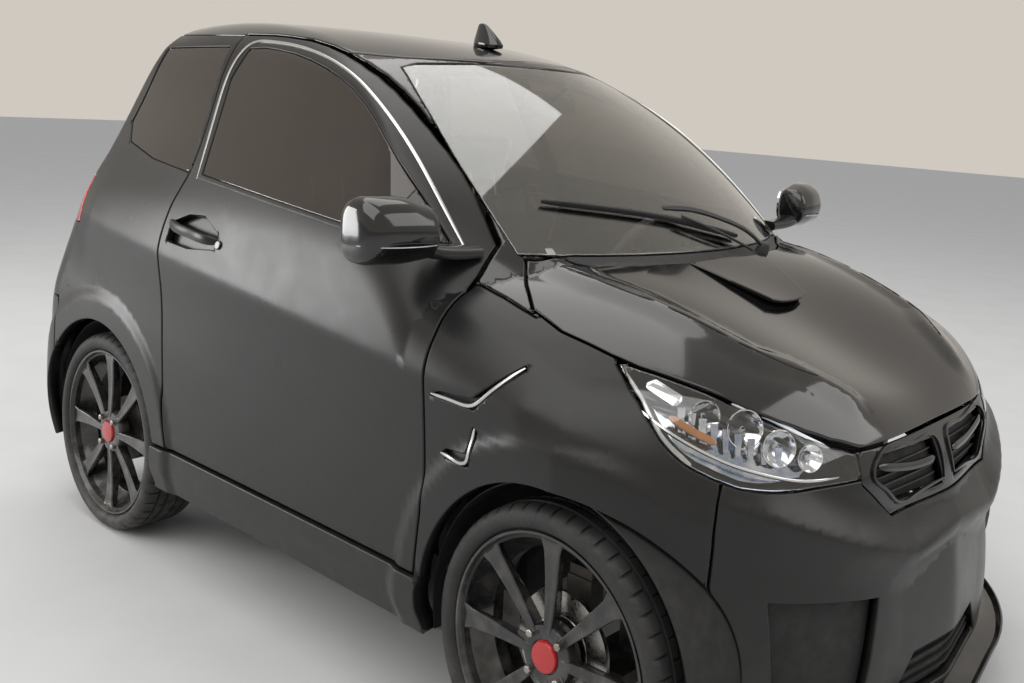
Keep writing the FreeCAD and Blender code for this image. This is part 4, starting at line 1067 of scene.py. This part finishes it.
mirror = {"inner": 0.705, "outer": 0.868, "long": 0.112, "tall": 0.134, "middle": 1.024}
for side, name in sides:
    rings = []
    for t in np.linspace(0, 1, 15):
        y = mirror["inner"] + (mirror["outer"] - mirror["inner"]) * math.sin(t * math.pi / 2)
        full = math.sqrt(max(1 - (max(t - 0.55, 0) / 0.47) ** 2.2, 0.03)) * (0.78 + 0.22 * min(t / 0.25, 1))
        middle = np.array((0.430 - 0.036 * t, side * y, mirror["middle"] + 0.006 * math.sin(t * math.pi)))
        section = oval(mirror["long"] * full, mirror["tall"] * full, 28, 3.4)
        section[:, 0] += np.where(section[:, 0] > 0, -0.022 * np.clip(np.abs(section[:, 1]) / 0.06, 0, 1) ** 2, 0)
        ring = np.stack([section[:, 0] + middle[0], np.full(28, middle[1]), section[:, 1] + middle[2]], -1)
        rings.append(ring)
    piece("mirror_housing_" + name, loft(rings), gloss, "door_" + name, ("mirror_" + name,), 50, levels=1)
    crease = [(x, side * y, 1.004) for x, y in ((0.474, 0.725), (0.479, 0.760), (0.474, 0.800), (0.462, 0.830),
                                                (0.442, 0.855), (0.415, 0.868))]
    piece("mirror_line_" + name, bar(crease, 0.004, 0.003, 30, 2.2), bright, "door_" + name)
    root = np.array(sidePoint(0.425, 0.975, side))
    arm = [root - np.array((0, side * 0.01, 0)), root + np.array((0.0, side * 0.02, 0.001)),
           np.array((0.425, side * (mirror["inner"] - 0.005), 0.985)), np.array((0.42, side * (mirror["inner"] + 0.03), 0.995))]
    piece("mirror_arm_" + name, bar(arm, 0.062, 0.030, 24, 3.0, (0, 0, 1)), glossPlastic, "door_" + name)
    # The glass looks back and a little inward
    face = oval(0.106, 0.098, 28, 3.0)
    back = [np.stack([x + 0.1088 * (0.005 - face[:, 0] * s), side * (0.785 + face[:, 0] * s), 1.026 + face[:, 1] * s], -1)
            for x, s in ((0.366, 0.96), (0.360, 1.0), (0.359, 0.97))]
    piece("mirror_glass_" + name, loft(back), mirrorGlass, "door_" + name)

# Wheels and tyres

wheel = {"y": 0.6425, "pitches": 48, "blades": 8, "bolts": 4, "boltCircle": 0.050}
wheelPlaces = [(end + "_" + name, body[end + "Axle"], side) for end in ("front", "rear") for side, name in sides]


def tyrePitch():
    half = [(0.219, 0.064), (0.236, 0.0655), (0.238, 0.0715), (0.2415, 0.0775), (0.248, 0.0815), (0.256, 0.0825),
            (0.263, 0.0815), (0.2695, 0.0785), (0.2745, 0.0745), (0.2785, 0.0675), (0.2805, 0.060), (0.2812, 0.0525),
            (0.2815, 0.048), (0.2755, 0.047), (0.2755, 0.0405), (0.2816, 0.0395), (0.2818, 0.022), (0.2755, 0.0212),
            (0.2755, 0.0135), (0.2819, 0.0125), (0.282, 0.0)]
    profile = half + [(r, -y) for r, y in half[-2::-1]]
    sector = 2 * math.pi / wheel["pitches"]
    rows = []
    for share in (0.0, 0.05, 0.13, 0.18, 0.5, 0.54, 0.60, 0.64, 1.0):
        row = []
        for index, (r, y) in enumerate(profile):
            cut = 0.0
            slant = 0.10 * abs(y) / 0.08
            if 0.0405 < abs(y) < 0.0795 and 0.05 <= share <= 0.13:
                cut = 0.0045 if abs(y) < 0.07 else 0.0025
            if abs(y) < 0.038 and 0.54 <= share <= 0.60:
                cut = 0.0030
            if r < 0.27:
                cut = 0.0
            angle = (share + slant) * sector
            row.append(((r - cut) * math.sin(angle), y, (r - cut) * math.cos(angle)))
        rows.append(row)
    count = len(profile)
    points = [point for row in rows for point in row]
    faces = []
    for a in range(len(rows) - 1):
        for i in range(count - 1):
            faces.append([a * count + i, a * count + i + 1, (a + 1) * count + i + 1, (a + 1) * count + i])
    return points, faces


def bladePitch():
    # One flat spoke with a shallow hollow along its face
    rows = []
    for share in np.linspace(0, 1, 9):
        radius = 0.040 + (0.222 - 0.040) * share
        half = 0.0098 + 0.0125 * share ** 1.3 + 0.006 * max(share - 0.9, 0) * 10
        face = 0.0655 - 0.004 * math.sin(share * math.pi)
        depth = 0.020 + 0.012 * (1 - share)
        section = [(-half, face - 0.003), (-half + 0.0025, face), (-half * 0.35, face - 0.0016),
                   (half * 0.35, face - 0.0016), (half - 0.0025, face), (half, face - 0.003),
                   (half * 0.55, face - depth), (-half * 0.55, face - depth)]
        rows.append([(x, y, radius) for x, y in section])
    return loft(rows)


def boltPitch():
    # One bolt head with six sides, between two blades
    angle = math.radians(45)
    x, z = wheel["boltCircle"] * math.sin(angle), wheel["boltCircle"] * math.cos(angle)
    rings = []
    for radius, y in ((0.0085, 0.052), (0.0085, 0.0735), (0.007, 0.0755), (0.003, 0.0758)):
        turns = [math.radians(60 * step) for step in range(6)]
        rings.append([(x + radius * math.cos(turn), y, z + radius * math.sin(turn)) for turn in turns])
    return loft(rings)


tyreMesh = repeated("tyre", tyrePitch(), wheel["pitches"], rubber, 38)
bladeMesh = repeated("blades", bladePitch(), wheel["blades"], wheelPaint, 40, 0.0012)
boltMesh = repeated("bolts", boltPitch(), wheel["bolts"], steel, 30, 0.0008)
barrel = lathe([(0.2335, -0.0735), (0.2335, -0.0665), (0.2275, -0.063), (0.2195, -0.062), (0.2185, -0.033), (0.196, -0.015),
                (0.196, 0.015), (0.2185, 0.033), (0.2195, 0.062), (0.2275, 0.063), (0.2335, 0.0665), (0.2335, 0.0735),
                (0.2285, 0.0735), (0.2255, 0.068), (0.2225, 0.058), (0.2125, 0.034), (0.190, 0.013), (0.190, -0.013),
                (0.2125, -0.034), (0.2125, -0.062), (0.2285, -0.0735), (0.2335, -0.0735)], (0, 0, 0), 128)
hubShape = lathe([(0.0, 0.030), (0.058, 0.030), (0.062, 0.034), (0.062, 0.052), (0.057, 0.0615), (0.036, 0.0655),
                  (0.033, 0.0645), (0.032, 0.062), (0.0, 0.062)], (0, 0, 0), 64)
capShape = lathe([(0.0, 0.060), (0.0305, 0.060), (0.0305, 0.0670), (0.0285, 0.0700), (0.020, 0.0712), (0.0, 0.0716)],
                 (0, 0, 0), 64)
discShape = lathe([(0.0, 0.021), (0.062, 0.021), (0.063, 0.0195), (0.110, 0.0195), (0.1105, 0.012), (0.110, 0.0105),
                   (0.0, 0.0105)], (0, 0, 0), 96)
for name, x, side in wheelPlaces:
    middle = (x, side * wheel["y"], body["hub"])
    rides = "roll_" + name
    placed("tyre_tread_" + name, tyreMesh, middle, side < 0, rides, ("tyre_" + name,))
    placed("wheel_blades_" + name, bladeMesh, middle, side < 0, rides, ("wheel_" + name,))
    placed("wheel_bolts_" + name, boltMesh, middle, side < 0, rides)
    turned = [("barrel", barrel, wheelPaint), ("hub", hubShape, wheelPaint), ("cap", capShape, redPaint)]
    if name.startswith("front"):
        turned.append(("disc", discShape, steel))
    for label, (points, faces), material in turned:
        points = np.array(points) * (1, side, 1) + middle
        piece("wheel_%s_%s" % (label, name), (points, faces), material, rides)
print("wheels")

# Liners of the wheel arches

liner = {"radius": 0.318, "inner": 0.43, "outer": 0.700, "thick": 0.003}
for name, x, side in wheelPlaces:
    near, far = liner["radius"], liner["radius"] + liner["thick"]
    section = ((near, liner["inner"]), (near, liner["outer"]), (far, liner["outer"]), (far, liner["inner"]))
    rings = [[(x + r * math.cos(angle), side * y, body["hub"] + r * math.sin(angle)) for r, y in section]
             for angle in np.radians(np.linspace(-12, 192, 49))]
    piece("arch_liner_" + name, loft(rings), shadow, "body")

# Headlamps, grille and tail

lamp = {"fins": 9, "lean": 0.010, "finHigh": 0.034, "finThick": 0.0012, "edgeWide": 0.007}
# Place, radius and depth under the surface of each lamp
bowls = ((1.066, 0.500, 0.738, 0.034, 0.012), (1.118, 0.462, 0.706, 0.032, 0.012),
         (1.008, 0.545, 0.758, 0.028, 0.013), (1.160, 0.415, 0.688, 0.024, 0.012))
# Path, width, height, material and depth under the surface
lampStrips = {
    "lamp_line": ([(1.040, 0.505, 0.790), (1.090, 0.462, 0.762), (1.135, 0.418, 0.728), (1.172, 0.372, 0.700)],
                  0.008, 0.006, light, 0.008),
    "lamp_edge": ([(0.875, 0.640, 0.800), (0.960, 0.610, 0.735), (1.030, 0.560, 0.688), (1.100, 0.500, 0.660),
                   (1.165, 0.430, 0.650), (1.195, 0.370, 0.650)], 0.006, 0.010, chrome, 0.008),
    "lamp_orange": ([(0.960, 0.590, 0.755), (0.992, 0.575, 0.735), (1.035, 0.548, 0.712)], 0.014, 0.008, orange, 0.014),
    "lamp_panel": ([(0.900, 0.580, 0.812), (0.930, 0.572, 0.792), (0.960, 0.560, 0.772)], 0.030, 0.006, chrome, 0.012),
    "lamp_shelf": ([(0.880, 0.615, 0.815), (0.980, 0.560, 0.775), (1.080, 0.470, 0.735), (1.165, 0.385, 0.690)],
                   0.016, 0.020, glossPlastic, 0.030),
}
for side, name in sides:
    for index in range(lamp["fins"]):
        t = index / (lamp["fins"] - 1)
        top = under(sidePoint(0.965 + 0.150 * t, 0.772 - 0.062 * t, side), 0.014)
        foot = under(sidePoint(0.985 + 0.145 * t, 0.772 - 0.062 * t - lamp["finHigh"], side), 0.028)
        ahead = np.array((lamp["lean"], -side * lamp["lean"], 0))
        ring = np.array([top, top + ahead, foot + ahead * 0.6, foot])
        piece("lamp_fin_%s_%d" % (name, index), loft([ring, ring - (lamp["finThick"], 0, 0)]), facetsPaintedReflection, "body")
    edge = [sidePoint(x, z, side) for x, z in ((0.846, 0.818), (0.912, 0.777), (0.972, 0.721), (1.022, 0.682))]
    piece("lamp_edge_" + name, strip(edge, lamp["edgeWide"], 0.003, 40, 0.006), bright, "body")
for side, name in sides:
    aim = (0.82, side * 0.52, 0.18)
    for index, (x, y, z, radius, depth) in enumerate(bowls):
        centre = under((x, side * y, z), depth)
        bowl = [(radius * s, 0.75 * radius * (s * s - 1)) for s in (1.0, 0.85, 0.7, 0.5, 0.3, 0.12)]
        rim = [(radius * 1.05, 0.0), (radius * 1.05, -0.004)]
        shell = [(r + 0.002, a - 0.003) for r, a in bowl[1:]] + [(0.0, -0.8 * radius)]
        bulb = [(0.0, -0.45 * radius), (0.004, -0.30 * radius), (0.006, -0.45 * radius), (0.005, -0.66 * radius),
                (0.0, -0.66 * radius)]
        for label, profile, steps, material in (("bowl", [(0.0, -0.72 * radius)] + bowl[::-1] + rim + shell, 40, chrome),
                                                ("bulb", bulb, 20, light)):
            points, faces = lathe(profile, (0, 0, 0), steps, 2)
            piece("lamp_%s_%s_%d" % (label, name, index), (aimed(points, aim, centre), faces), material, "body")
    for label, (path, width, height, material, sunk) in lampStrips.items():
        path = path if side > 0 else mirrorY(path)
        piece("%s_%s" % (label, name), strip(path, width, height, 48, sunk), material, "body")
for side in (1, -1):
    for index, (z, far) in enumerate(((0.592, 0.225), (0.610, 0.250), (0.628, 0.268), (0.646, 0.272))):
        path = [(1.235, side * y, z) for y in (0.030, 0.09, 0.15, far)]
        piece("grille_bar_%d_%d" % (side + 1, index), strip(path, 0.004, 0.008, 40, 0.019), plastic, "body")
    path = [(1.235, side * y, z) for y, z in ((0.045, 0.625), (0.12, 0.628), (0.20, 0.640), (0.265, 0.655))]
    piece("grille_wing_%d" % (side + 1), strip(path, 0.016, 0.010, 40, 0.006), glossPlastic, "body")
for side in (1, -1):
    loop = [(1.22, side * y, z) for y, z in ((0.024, 0.574), (0.034, 0.664), (0.120, 0.668), (0.262, 0.672), (0.286, 0.640),
                                             (0.250, 0.606), (0.214, 0.576), (0.120, 0.574), (0.024, 0.574))]
    piece("grille_frame_%d" % (side + 1), strip(loop, 0.007, 0.007, 90, 0.001), glossPlastic, "body")
for index, (z, half) in enumerate(((0.190, 0.205), (0.214, 0.185), (0.238, 0.165))):
    path = [(1.26, y, z) for y in (-half, -half / 2, 0.0, half / 2, half)]
    piece("intake_bar_%d" % index, strip(path, 0.004, 0.010, 50, 0.014), shadow, "body")
plate = [(-1.3385, y, z) for y, z in ((0.235, 0.342), (0.24, 0.347), (0.24, 0.443), (0.235, 0.448),
                                      (-0.235, 0.448), (-0.24, 0.443), (-0.24, 0.347), (-0.235, 0.342))]
piece("plate_blank", loft([plate, [(x + 0.003, y, z) for x, y, z in plate]]), plateWhite, "body", bevel=0.001)
grip = [under((-1.32, y, 0.985), -0.002) for y in (0.30, 0.15, 0.0, -0.15, -0.30)]
piece("hatch_grip", bar(grip, 0.014, 0.028, 40, 3.5), glossPlastic, "tailgate")

# Roof fin, wiper and splitter

fin = {"x": -0.175, "z": 1.44, "length": 0.130, "tipLength": 0.024, "lean": 0.034}
finRows = []
finFoot = under((fin["x"], 0.0, fin["z"]), 0.004)[2]
for share, height, half in ((0.0, 0.0, 0.032), (0.3, 0.028, 0.022), (0.6, 0.050, 0.013), (0.85, 0.068, 0.007),
                            (1.0, 0.076, 0.003)):
    length = fin["length"] * (1 - share) + fin["tipLength"] * share
    middle = fin["x"] - fin["lean"] * share
    finRows.append([(middle + x, y, finFoot + height) for x, y in oval(length, half * 2, 20, 2.2)])
piece("roof_fin", loft(finRows), gloss, "body", levels=1)

# Points over the windscreen, with how high above it they stand
bladePath = [((0.433, -0.399, 1.070), 0.010), ((0.492, -0.298, 1.060), 0.010), ((0.540, -0.194, 1.047), 0.010),
             ((0.575, -0.09, 1.026), 0.010), ((0.605, 0.010, 1.004), 0.010), ((0.625, 0.10, 0.990), 0.010)]
armPath = [((0.655, 0.185, 0.956), 0.012), ((0.632, 0.130, 0.985), 0.030), ((0.600, 0.040, 1.010), 0.036),
           ((0.570, -0.050, 1.040), 0.030), ((0.552, -0.118, 1.052), 0.020)]
rodPath = [((0.662, 0.120, 0.956), 0.010), ((0.623, 0.010, 0.995), 0.022), ((0.580, -0.085, 1.032), 0.024)]
blade, arm, rod = [[under(point, -height) for point, height in path] for path in (bladePath, armPath, rodPath)]
piece("wiper_blade", bar(blade, 0.010, 0.016, 60, 3.0, (0.6, 0, 0.8), 0.4), plastic, "body", ("wiper",))
piece("wiper_arm", bar(arm, 0.016, 0.009, 48, 3.0, (0.6, 0, 0.8), 0.3), plastic, "body")
piece("wiper_rod", bar(rod, 0.007, 0.007, 36, 2.2), plastic, "body")
boss = under(armPath[0][0], -0.010)
points, faces = lathe([(0.0, 0.016), (0.012, 0.014), (0.016, 0.006), (0.018, -0.022), (0.0, -0.022)], (0, 0, 0), 32, 2)
piece("wiper_boss", (aimed(points, (0.3, 0, 0.95), boss), faces), plastic, "body")

# How far out and how high each corner of the splitter's section is
lipSection = ((-0.020, 0.126), (0.040, 0.122), (0.052, 0.128), (0.055, 0.146), (0.051, 0.147), (0.040, 0.137),
              (0.000, 0.140), (-0.020, 0.156))
lipRows = []
for angle in np.linspace(-1, 1, 61):
    y = 0.63 * math.sin(angle * math.pi / 2)
    foot = ontoBody(np.array([(1.262 - 0.66 * abs(y) ** 2.2, y, 0.165)]), 6)
    out = bodyNormals(foot)[0] * (1, 1, 0)
    out /= np.linalg.norm(out)
    start = foot[0] * (1, 1, 0)
    lipRows.append([start + out * a + (0, 0, z) for a, z in lipSection])
piece("splitter_lip", loft(lipRows), glossPlastic, "body", ("splitter",), 40)
print("fin and wiper")

# Cabin


def ovalPlates(width, height, steps, power, y, z, rows):
    # Upright ovals joined along X, one per row of place and scale
    return loft([[(x, y + a, z + b) for a, b in oval(width * s, height * s, steps, power)] for x, s in rows])


dash = {"front": 0.446, "low": 0.660, "half": 0.565, "wheelY": 0.30}
rings = []
for y in np.linspace(-dash["half"], dash["half"], 41):
    hood = 0.022 * math.exp(-((y - dash["wheelY"]) / 0.13) ** 2)
    middle = 0.012 * math.exp(-(y / 0.13) ** 2)
    end = 0.012 * max(abs(y) - 0.53, 0) / 0.035
    profile = [(dash["front"] - end, dash["low"] + end), (dash["front"] - end, 0.905 - end), (0.40, 0.914 - end),
               (0.35, 0.913 + hood * 0.1 - end), (0.315, 0.908 + hood * 0.2 - end), (0.296, 0.893 - end),
               (0.291 + hood, 0.870), (0.300 - middle, 0.82), (0.318 - middle, 0.75), (0.345, 0.69),
               (0.38, dash["low"] + end)]
    rings.append([(x, y, z) for x, z in profile])
piece("dash_body", loft(rings), dashSkin, "body", ("dashboard",), 40, 0.003)
outline = ((0.325, -0.1), (0.44, -0.105), (0.44, 0.105), (0.325, 0.1))
piece("dash_console", loft([[(x, y, z) for x, y in outline] for z in (0.302, 0.45, 0.60, 0.672)]),
      dashSkin, "body", bevel=0.012, segments=3)
outline = ((-0.095, 0.742), (0.095, 0.742), (0.095, 0.862), (-0.095, 0.862))
piece("dash_screen", loft([[(x, y, z) for y, z in outline] for x in (0.285, 0.300)]), glossPlastic, "body", bevel=0.004)
for index, y in enumerate((-0.49, -0.17, 0.14, 0.49)):
    vent = ovalPlates(0.075, 0.045, 20, 3.5, y, 0.835, ((0.288, 0.9), (0.286, 1.0), (0.302, 1.0)))
    piece("dash_vent_%d" % index, vent, plastic, "body")
column = [(0.225, dash["wheelY"], 0.815), (0.26, dash["wheelY"], 0.799), (0.31, dash["wheelY"], 0.777)]
piece("column_cover", bar(column, 0.060, 0.055, 20, 3.0), plastic, "body")
cluster = ovalPlates(0.22, 0.052, 28, 3.0, dash["wheelY"], 0.872, ((0.290, 0.92), (0.287, 1.0), (0.31, 1.0)))
piece("cluster", cluster, glossPlastic, "body")
roomMirror = ovalPlates(0.21, 0.055, 28, 3.4, 0, 1.285, ((0.060, 0.93), (0.066, 1.0), (0.078, 0.9)))
piece("room_mirror", roomMirror, plastic, "body")
stalk = [(0.074, 0, 1.292), (0.10, 0, 1.315), (0.135, 0, 1.335)]
piece("room_mirror_arm", bar(stalk, 0.016, 0.012, 16, 2.4, (0, 0, 1)), plastic, "body")


# Seats

seat = {"depth": 0.470, "width": 0.460, "tilt": 17, "backLong": 0.60, "voxel": 0.0072, "y": 0.30, "hip": 0.470,
        "swell": 0.016, "force": 4, "frames": 20}


def padShape(size, crown, steps=14, power=4.0):
    # A cushion crowned on both faces, centred at the origin
    rows = []
    for t in np.linspace(-1, 1, steps):
        edge = (1 - abs(t) ** power) ** (1 / power)
        edge = max(edge, 0.05)
        ring = []
        section = oval(size[1], size[2], 28, 4.5)
        for y, z in section:
            rise = crown * (1 - (y / (size[1] / 2)) ** 2) * (1 - t * t)
            ring.append((t * size[0] / 2, y * (0.72 + 0.28 * edge), z * edge + (rise if z > 0 else 0)))
        rows.append(ring)
    return loft(rows)


def stuffed(item, cap):
    # Lets the cover swell like stuffed cloth, and keeps every point near its start
    remesh = item.modifiers.new("remesh", "REMESH")
    remesh.mode = "VOXEL"
    remesh.voxel_size = seat["voxel"]
    item.data = freshMesh(item)
    item.modifiers.clear()
    start = pointsOf(item.data)
    cloth = item.modifiers.new("cloth", "CLOTH")
    cloth.settings.use_pressure = True
    cloth.settings.uniform_pressure_force = seat["force"]
    cloth.settings.quality = 4
    cloth.settings.effector_weights.gravity = 0
    cloth.point_cache.frame_start = 1
    cloth.point_cache.frame_end = seat["frames"]
    for number in range(1, seat["frames"] + 1):
        bpy.context.scene.frame_set(number)
    mesh = freshMesh(item)
    move = pointsOf(mesh) - start
    far = np.linalg.norm(move, axis=1)
    move *= (np.minimum(far, cap) / np.maximum(far, 1e-9))[:, None]
    mesh.vertices.foreach_set("co", (start + move).ravel())
    item.modifiers.clear()
    item.data = mesh
    bpy.context.scene.frame_set(1)


def seatPad(name, size, crown, channels, bolster, material):
    # A stuffed pad with sewn channels across it and raised sides
    points, faces = padShape(size, crown)
    item = meshObject(name, points, faces, material=material)
    outwards(item.data)
    clean(item, 60, levels=1)
    stuffed(item, seat["swell"])
    clean(item, 70, levels=0)
    points = pointsOf(item.data)
    top = ramp(points[:, 2], 0.0, size[2] * 0.3)
    press = np.zeros(len(points))
    for place in channels:
        press += 0.007 * np.exp(-((points[:, 0] - place) / 0.006) ** 2) * (np.abs(points[:, 1]) < size[1] * 0.30)
    for edge in (-1, 1):
        press += 0.009 * np.exp(-((points[:, 1] - edge * size[1] * 0.30) / 0.007) ** 2)
    rise = bolster * ramp(np.abs(points[:, 1]), size[1] * 0.31, size[1] * 0.42)
    points[:, 2] += top * (rise - press)
    item.data.vertices.foreach_set("co", points.ravel())
    if not item.data.materials:
        item.data.materials.append(material)
    item.data.update()
    return item


cushionPad = seatPad("cushionPad", (seat["depth"] - 0.05, seat["width"] - 0.04, 0.095), 0.010,
                     (-0.12, -0.04, 0.04, 0.12), 0.020, seatCloth)
backPad = seatPad("backPad", (seat["backLong"] - 0.04, seat["width"] - 0.04, 0.080), 0.008,
                  (-0.20, -0.11, -0.02, 0.07, 0.16), 0.020, seatCloth)
headPad = seatPad("headPad", (0.150, 0.230, 0.070), 0.006, (), 0.0, seatCloth)


def setDown(name, source, turn, place, stands):
    # A copy of a pad, turned about Y and moved to its place
    mesh = source.data.copy()
    spin = np.array(((math.cos(turn), 0, math.sin(turn)), (0, 1, 0), (-math.sin(turn), 0, math.cos(turn))))
    mesh.vertices.foreach_set("co", (pointsOf(mesh) @ spin.T + place).ravel())
    mesh.update()
    item = newItem(name, mesh)
    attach(item, "body")
    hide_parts(*stands)
    return item


tilt = math.radians(seat["tilt"])
lean = math.radians(90 - seat["tilt"])
upBack = np.array((-math.sin(tilt), 0, math.cos(tilt)))
for side, name in sides:
    y = side * seat["y"]
    setDown("seat_cushion_" + name, cushionPad, math.radians(-3), (-0.085, y, 0.452), ("seat_" + name,))
    foot = np.array((-0.315, y, seat["hip"]))
    setDown("seat_backrest_" + name, backPad, -lean, foot + upBack * 0.30, ("seat_" + name,))
    foot = np.array((-0.325, y, seat["hip"]))
    setDown("seat_head_" + name, headPad, -lean, foot + upBack * 0.665, ("seat_" + name,))
    for post in (-0.05, 0.05):
        path = [foot + (0, post, 0) + upBack * s for s in (0.54, 0.58, 0.63)]
        piece("head_post_%s_%d" % (name, post > 0), bar(path, 0.010, 0.010, 10, 2.0, (1, 0, 0.2)), steel, "body")
    shell = [np.array((-0.375, y, 0.43)) + upBack * s for s in (0.0, 0.2, 0.4, 0.58)]
    piece("seat_shell_" + name, bar(shell, 0.40, 0.030, 20, 4.0, (1, 0, 0.25)), seatSide, "body")
    tray = [(-0.30, y, 0.40), (-0.1, y, 0.398), (0.12, y, 0.402)]
    piece("seat_tray_" + name, bar(tray, 0.42, 0.045, 20, 5.0, (0, 0, 1)), seatSide, "body")
for pad in (cushionPad, backPad, headPad):
    bpy.data.objects.remove(pad)
print("seats")
def tubInside():
    # The floor structure, kept clear of the panels and recesses in front of it
    mesh = nodes["body_tub"].data.copy()
    shape = bmesh.new()
    shape.from_mesh(mesh)
    bmesh.ops.remove_doubles(shape, verts=shape.verts, dist=0.0001)
    points = np.array([tuple(vertex.co) for vertex in shape.verts])
    for _ in range(4):
        room = 0.040 + 0.030 * ramp(points[:, 0], 0.95, 1.05)
        over = np.maximum(bodyDistance(points) + room, 0) * (points[:, 2] > 0.30)
        points -= bodyNormals(points) * over[:, None]
    for vertex, point in zip(shape.verts, points):
        vertex.co = point
    shape.to_mesh(mesh)
    shape.free()
    mesh.materials.clear()
    mesh.materials.append(carpet)
    item = newItem("floor_structure", mesh)
    clean(item, 30)
    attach(item, "body")
    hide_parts("body_tub")


tubInside()
print("structure")

# Materials of the pieces that keep their own shape

keeps = {
    "engine_block": engineMetal, "front_suspension": ironDark, "rear_axle": ironDark, "fuel_tank": plastic,
    "exhaust": steel, "steering_wheel": leather, "seat_bases": ironDark, "knuckle_left": ironDark,
    "knuckle_right": ironDark,
}
for name, material in keeps.items():
    item = nodes[name]
    for slot in item.material_slots:
        slot.material = material
    if not item.material_slots:
        item.data.materials.append(material)

# Ground and light

ground = meshObject("ground", [(-30, -30, 0), (30, -30, 0), (30, 30, 0), (-30, 30, 0)], [(0, 1, 2, 3)], smooth=False,
                    material=finishOf("floorPaint", (0.62, 0.61, 0.59), (0.60, 0.59, 0.57), 0.8, grain=(60, 0.05)))
world = bpy.data.worlds.new("studio")
bpy.context.scene.world = world
world.use_nodes = True
# The camera, mirror reflections and glass see a beige wall, and the rest is lit by a cooler sky
tree = world.node_tree
sky = tree.nodes["Background"]
sky.inputs["Color"].default_value = (0.84, 0.87, 0.92, 1)
sky.inputs["Strength"].default_value = 0.62
wall = addNode(tree, "ShaderNodeBackground", {"Color": (0.78, 0.73, 0.66, 1), "Strength": 0.80})
ray = addNode(tree, "ShaderNodeLightPath")
seen = addNode(tree, "ShaderNodeMath", operation="MAXIMUM")
through = addNode(tree, "ShaderNodeMath", operation="MAXIMUM")
choose = addNode(tree, "ShaderNodeMixShader")
wire(tree, (ray, "Is Camera Ray", seen, 0), (ray, "Is Glossy Ray", seen, 1), (seen, "Value", through, 0),
     (ray, "Is Transmission Ray", through, 1), (through, "Value", choose, "Fac"), (sky, "Background", choose, 1),
     (wall, "Background", choose, 2), (choose, "Shader", tree.nodes["World Output"], "Surface"))
lamps = {
    "key": {"place": (0.6, -3.6, 5.6), "turn": (32, 4, 8), "extent": 6.0, "power": 230},
    "fill": {"place": (5.0, 2.4, 4.2), "turn": (50, 0, 118), "extent": 4.5, "power": 120},
    "back": {"place": (-2.0, 1.2, 6.5), "turn": (8, 0, -60), "extent": 4.5, "power": 110},
    "side": {"place": (-4.4, -3.8, 1.35), "turn": (88, 0, -49), "extent": 2.2, "power": 110},
}
for name, values in lamps.items():
    data = bpy.data.lights.new(name, "AREA")
    data.size = values["extent"]
    data.energy = values["power"]
    newItem(name, data, values)
bpy.context.scene.view_settings.view_transform = "Standard"
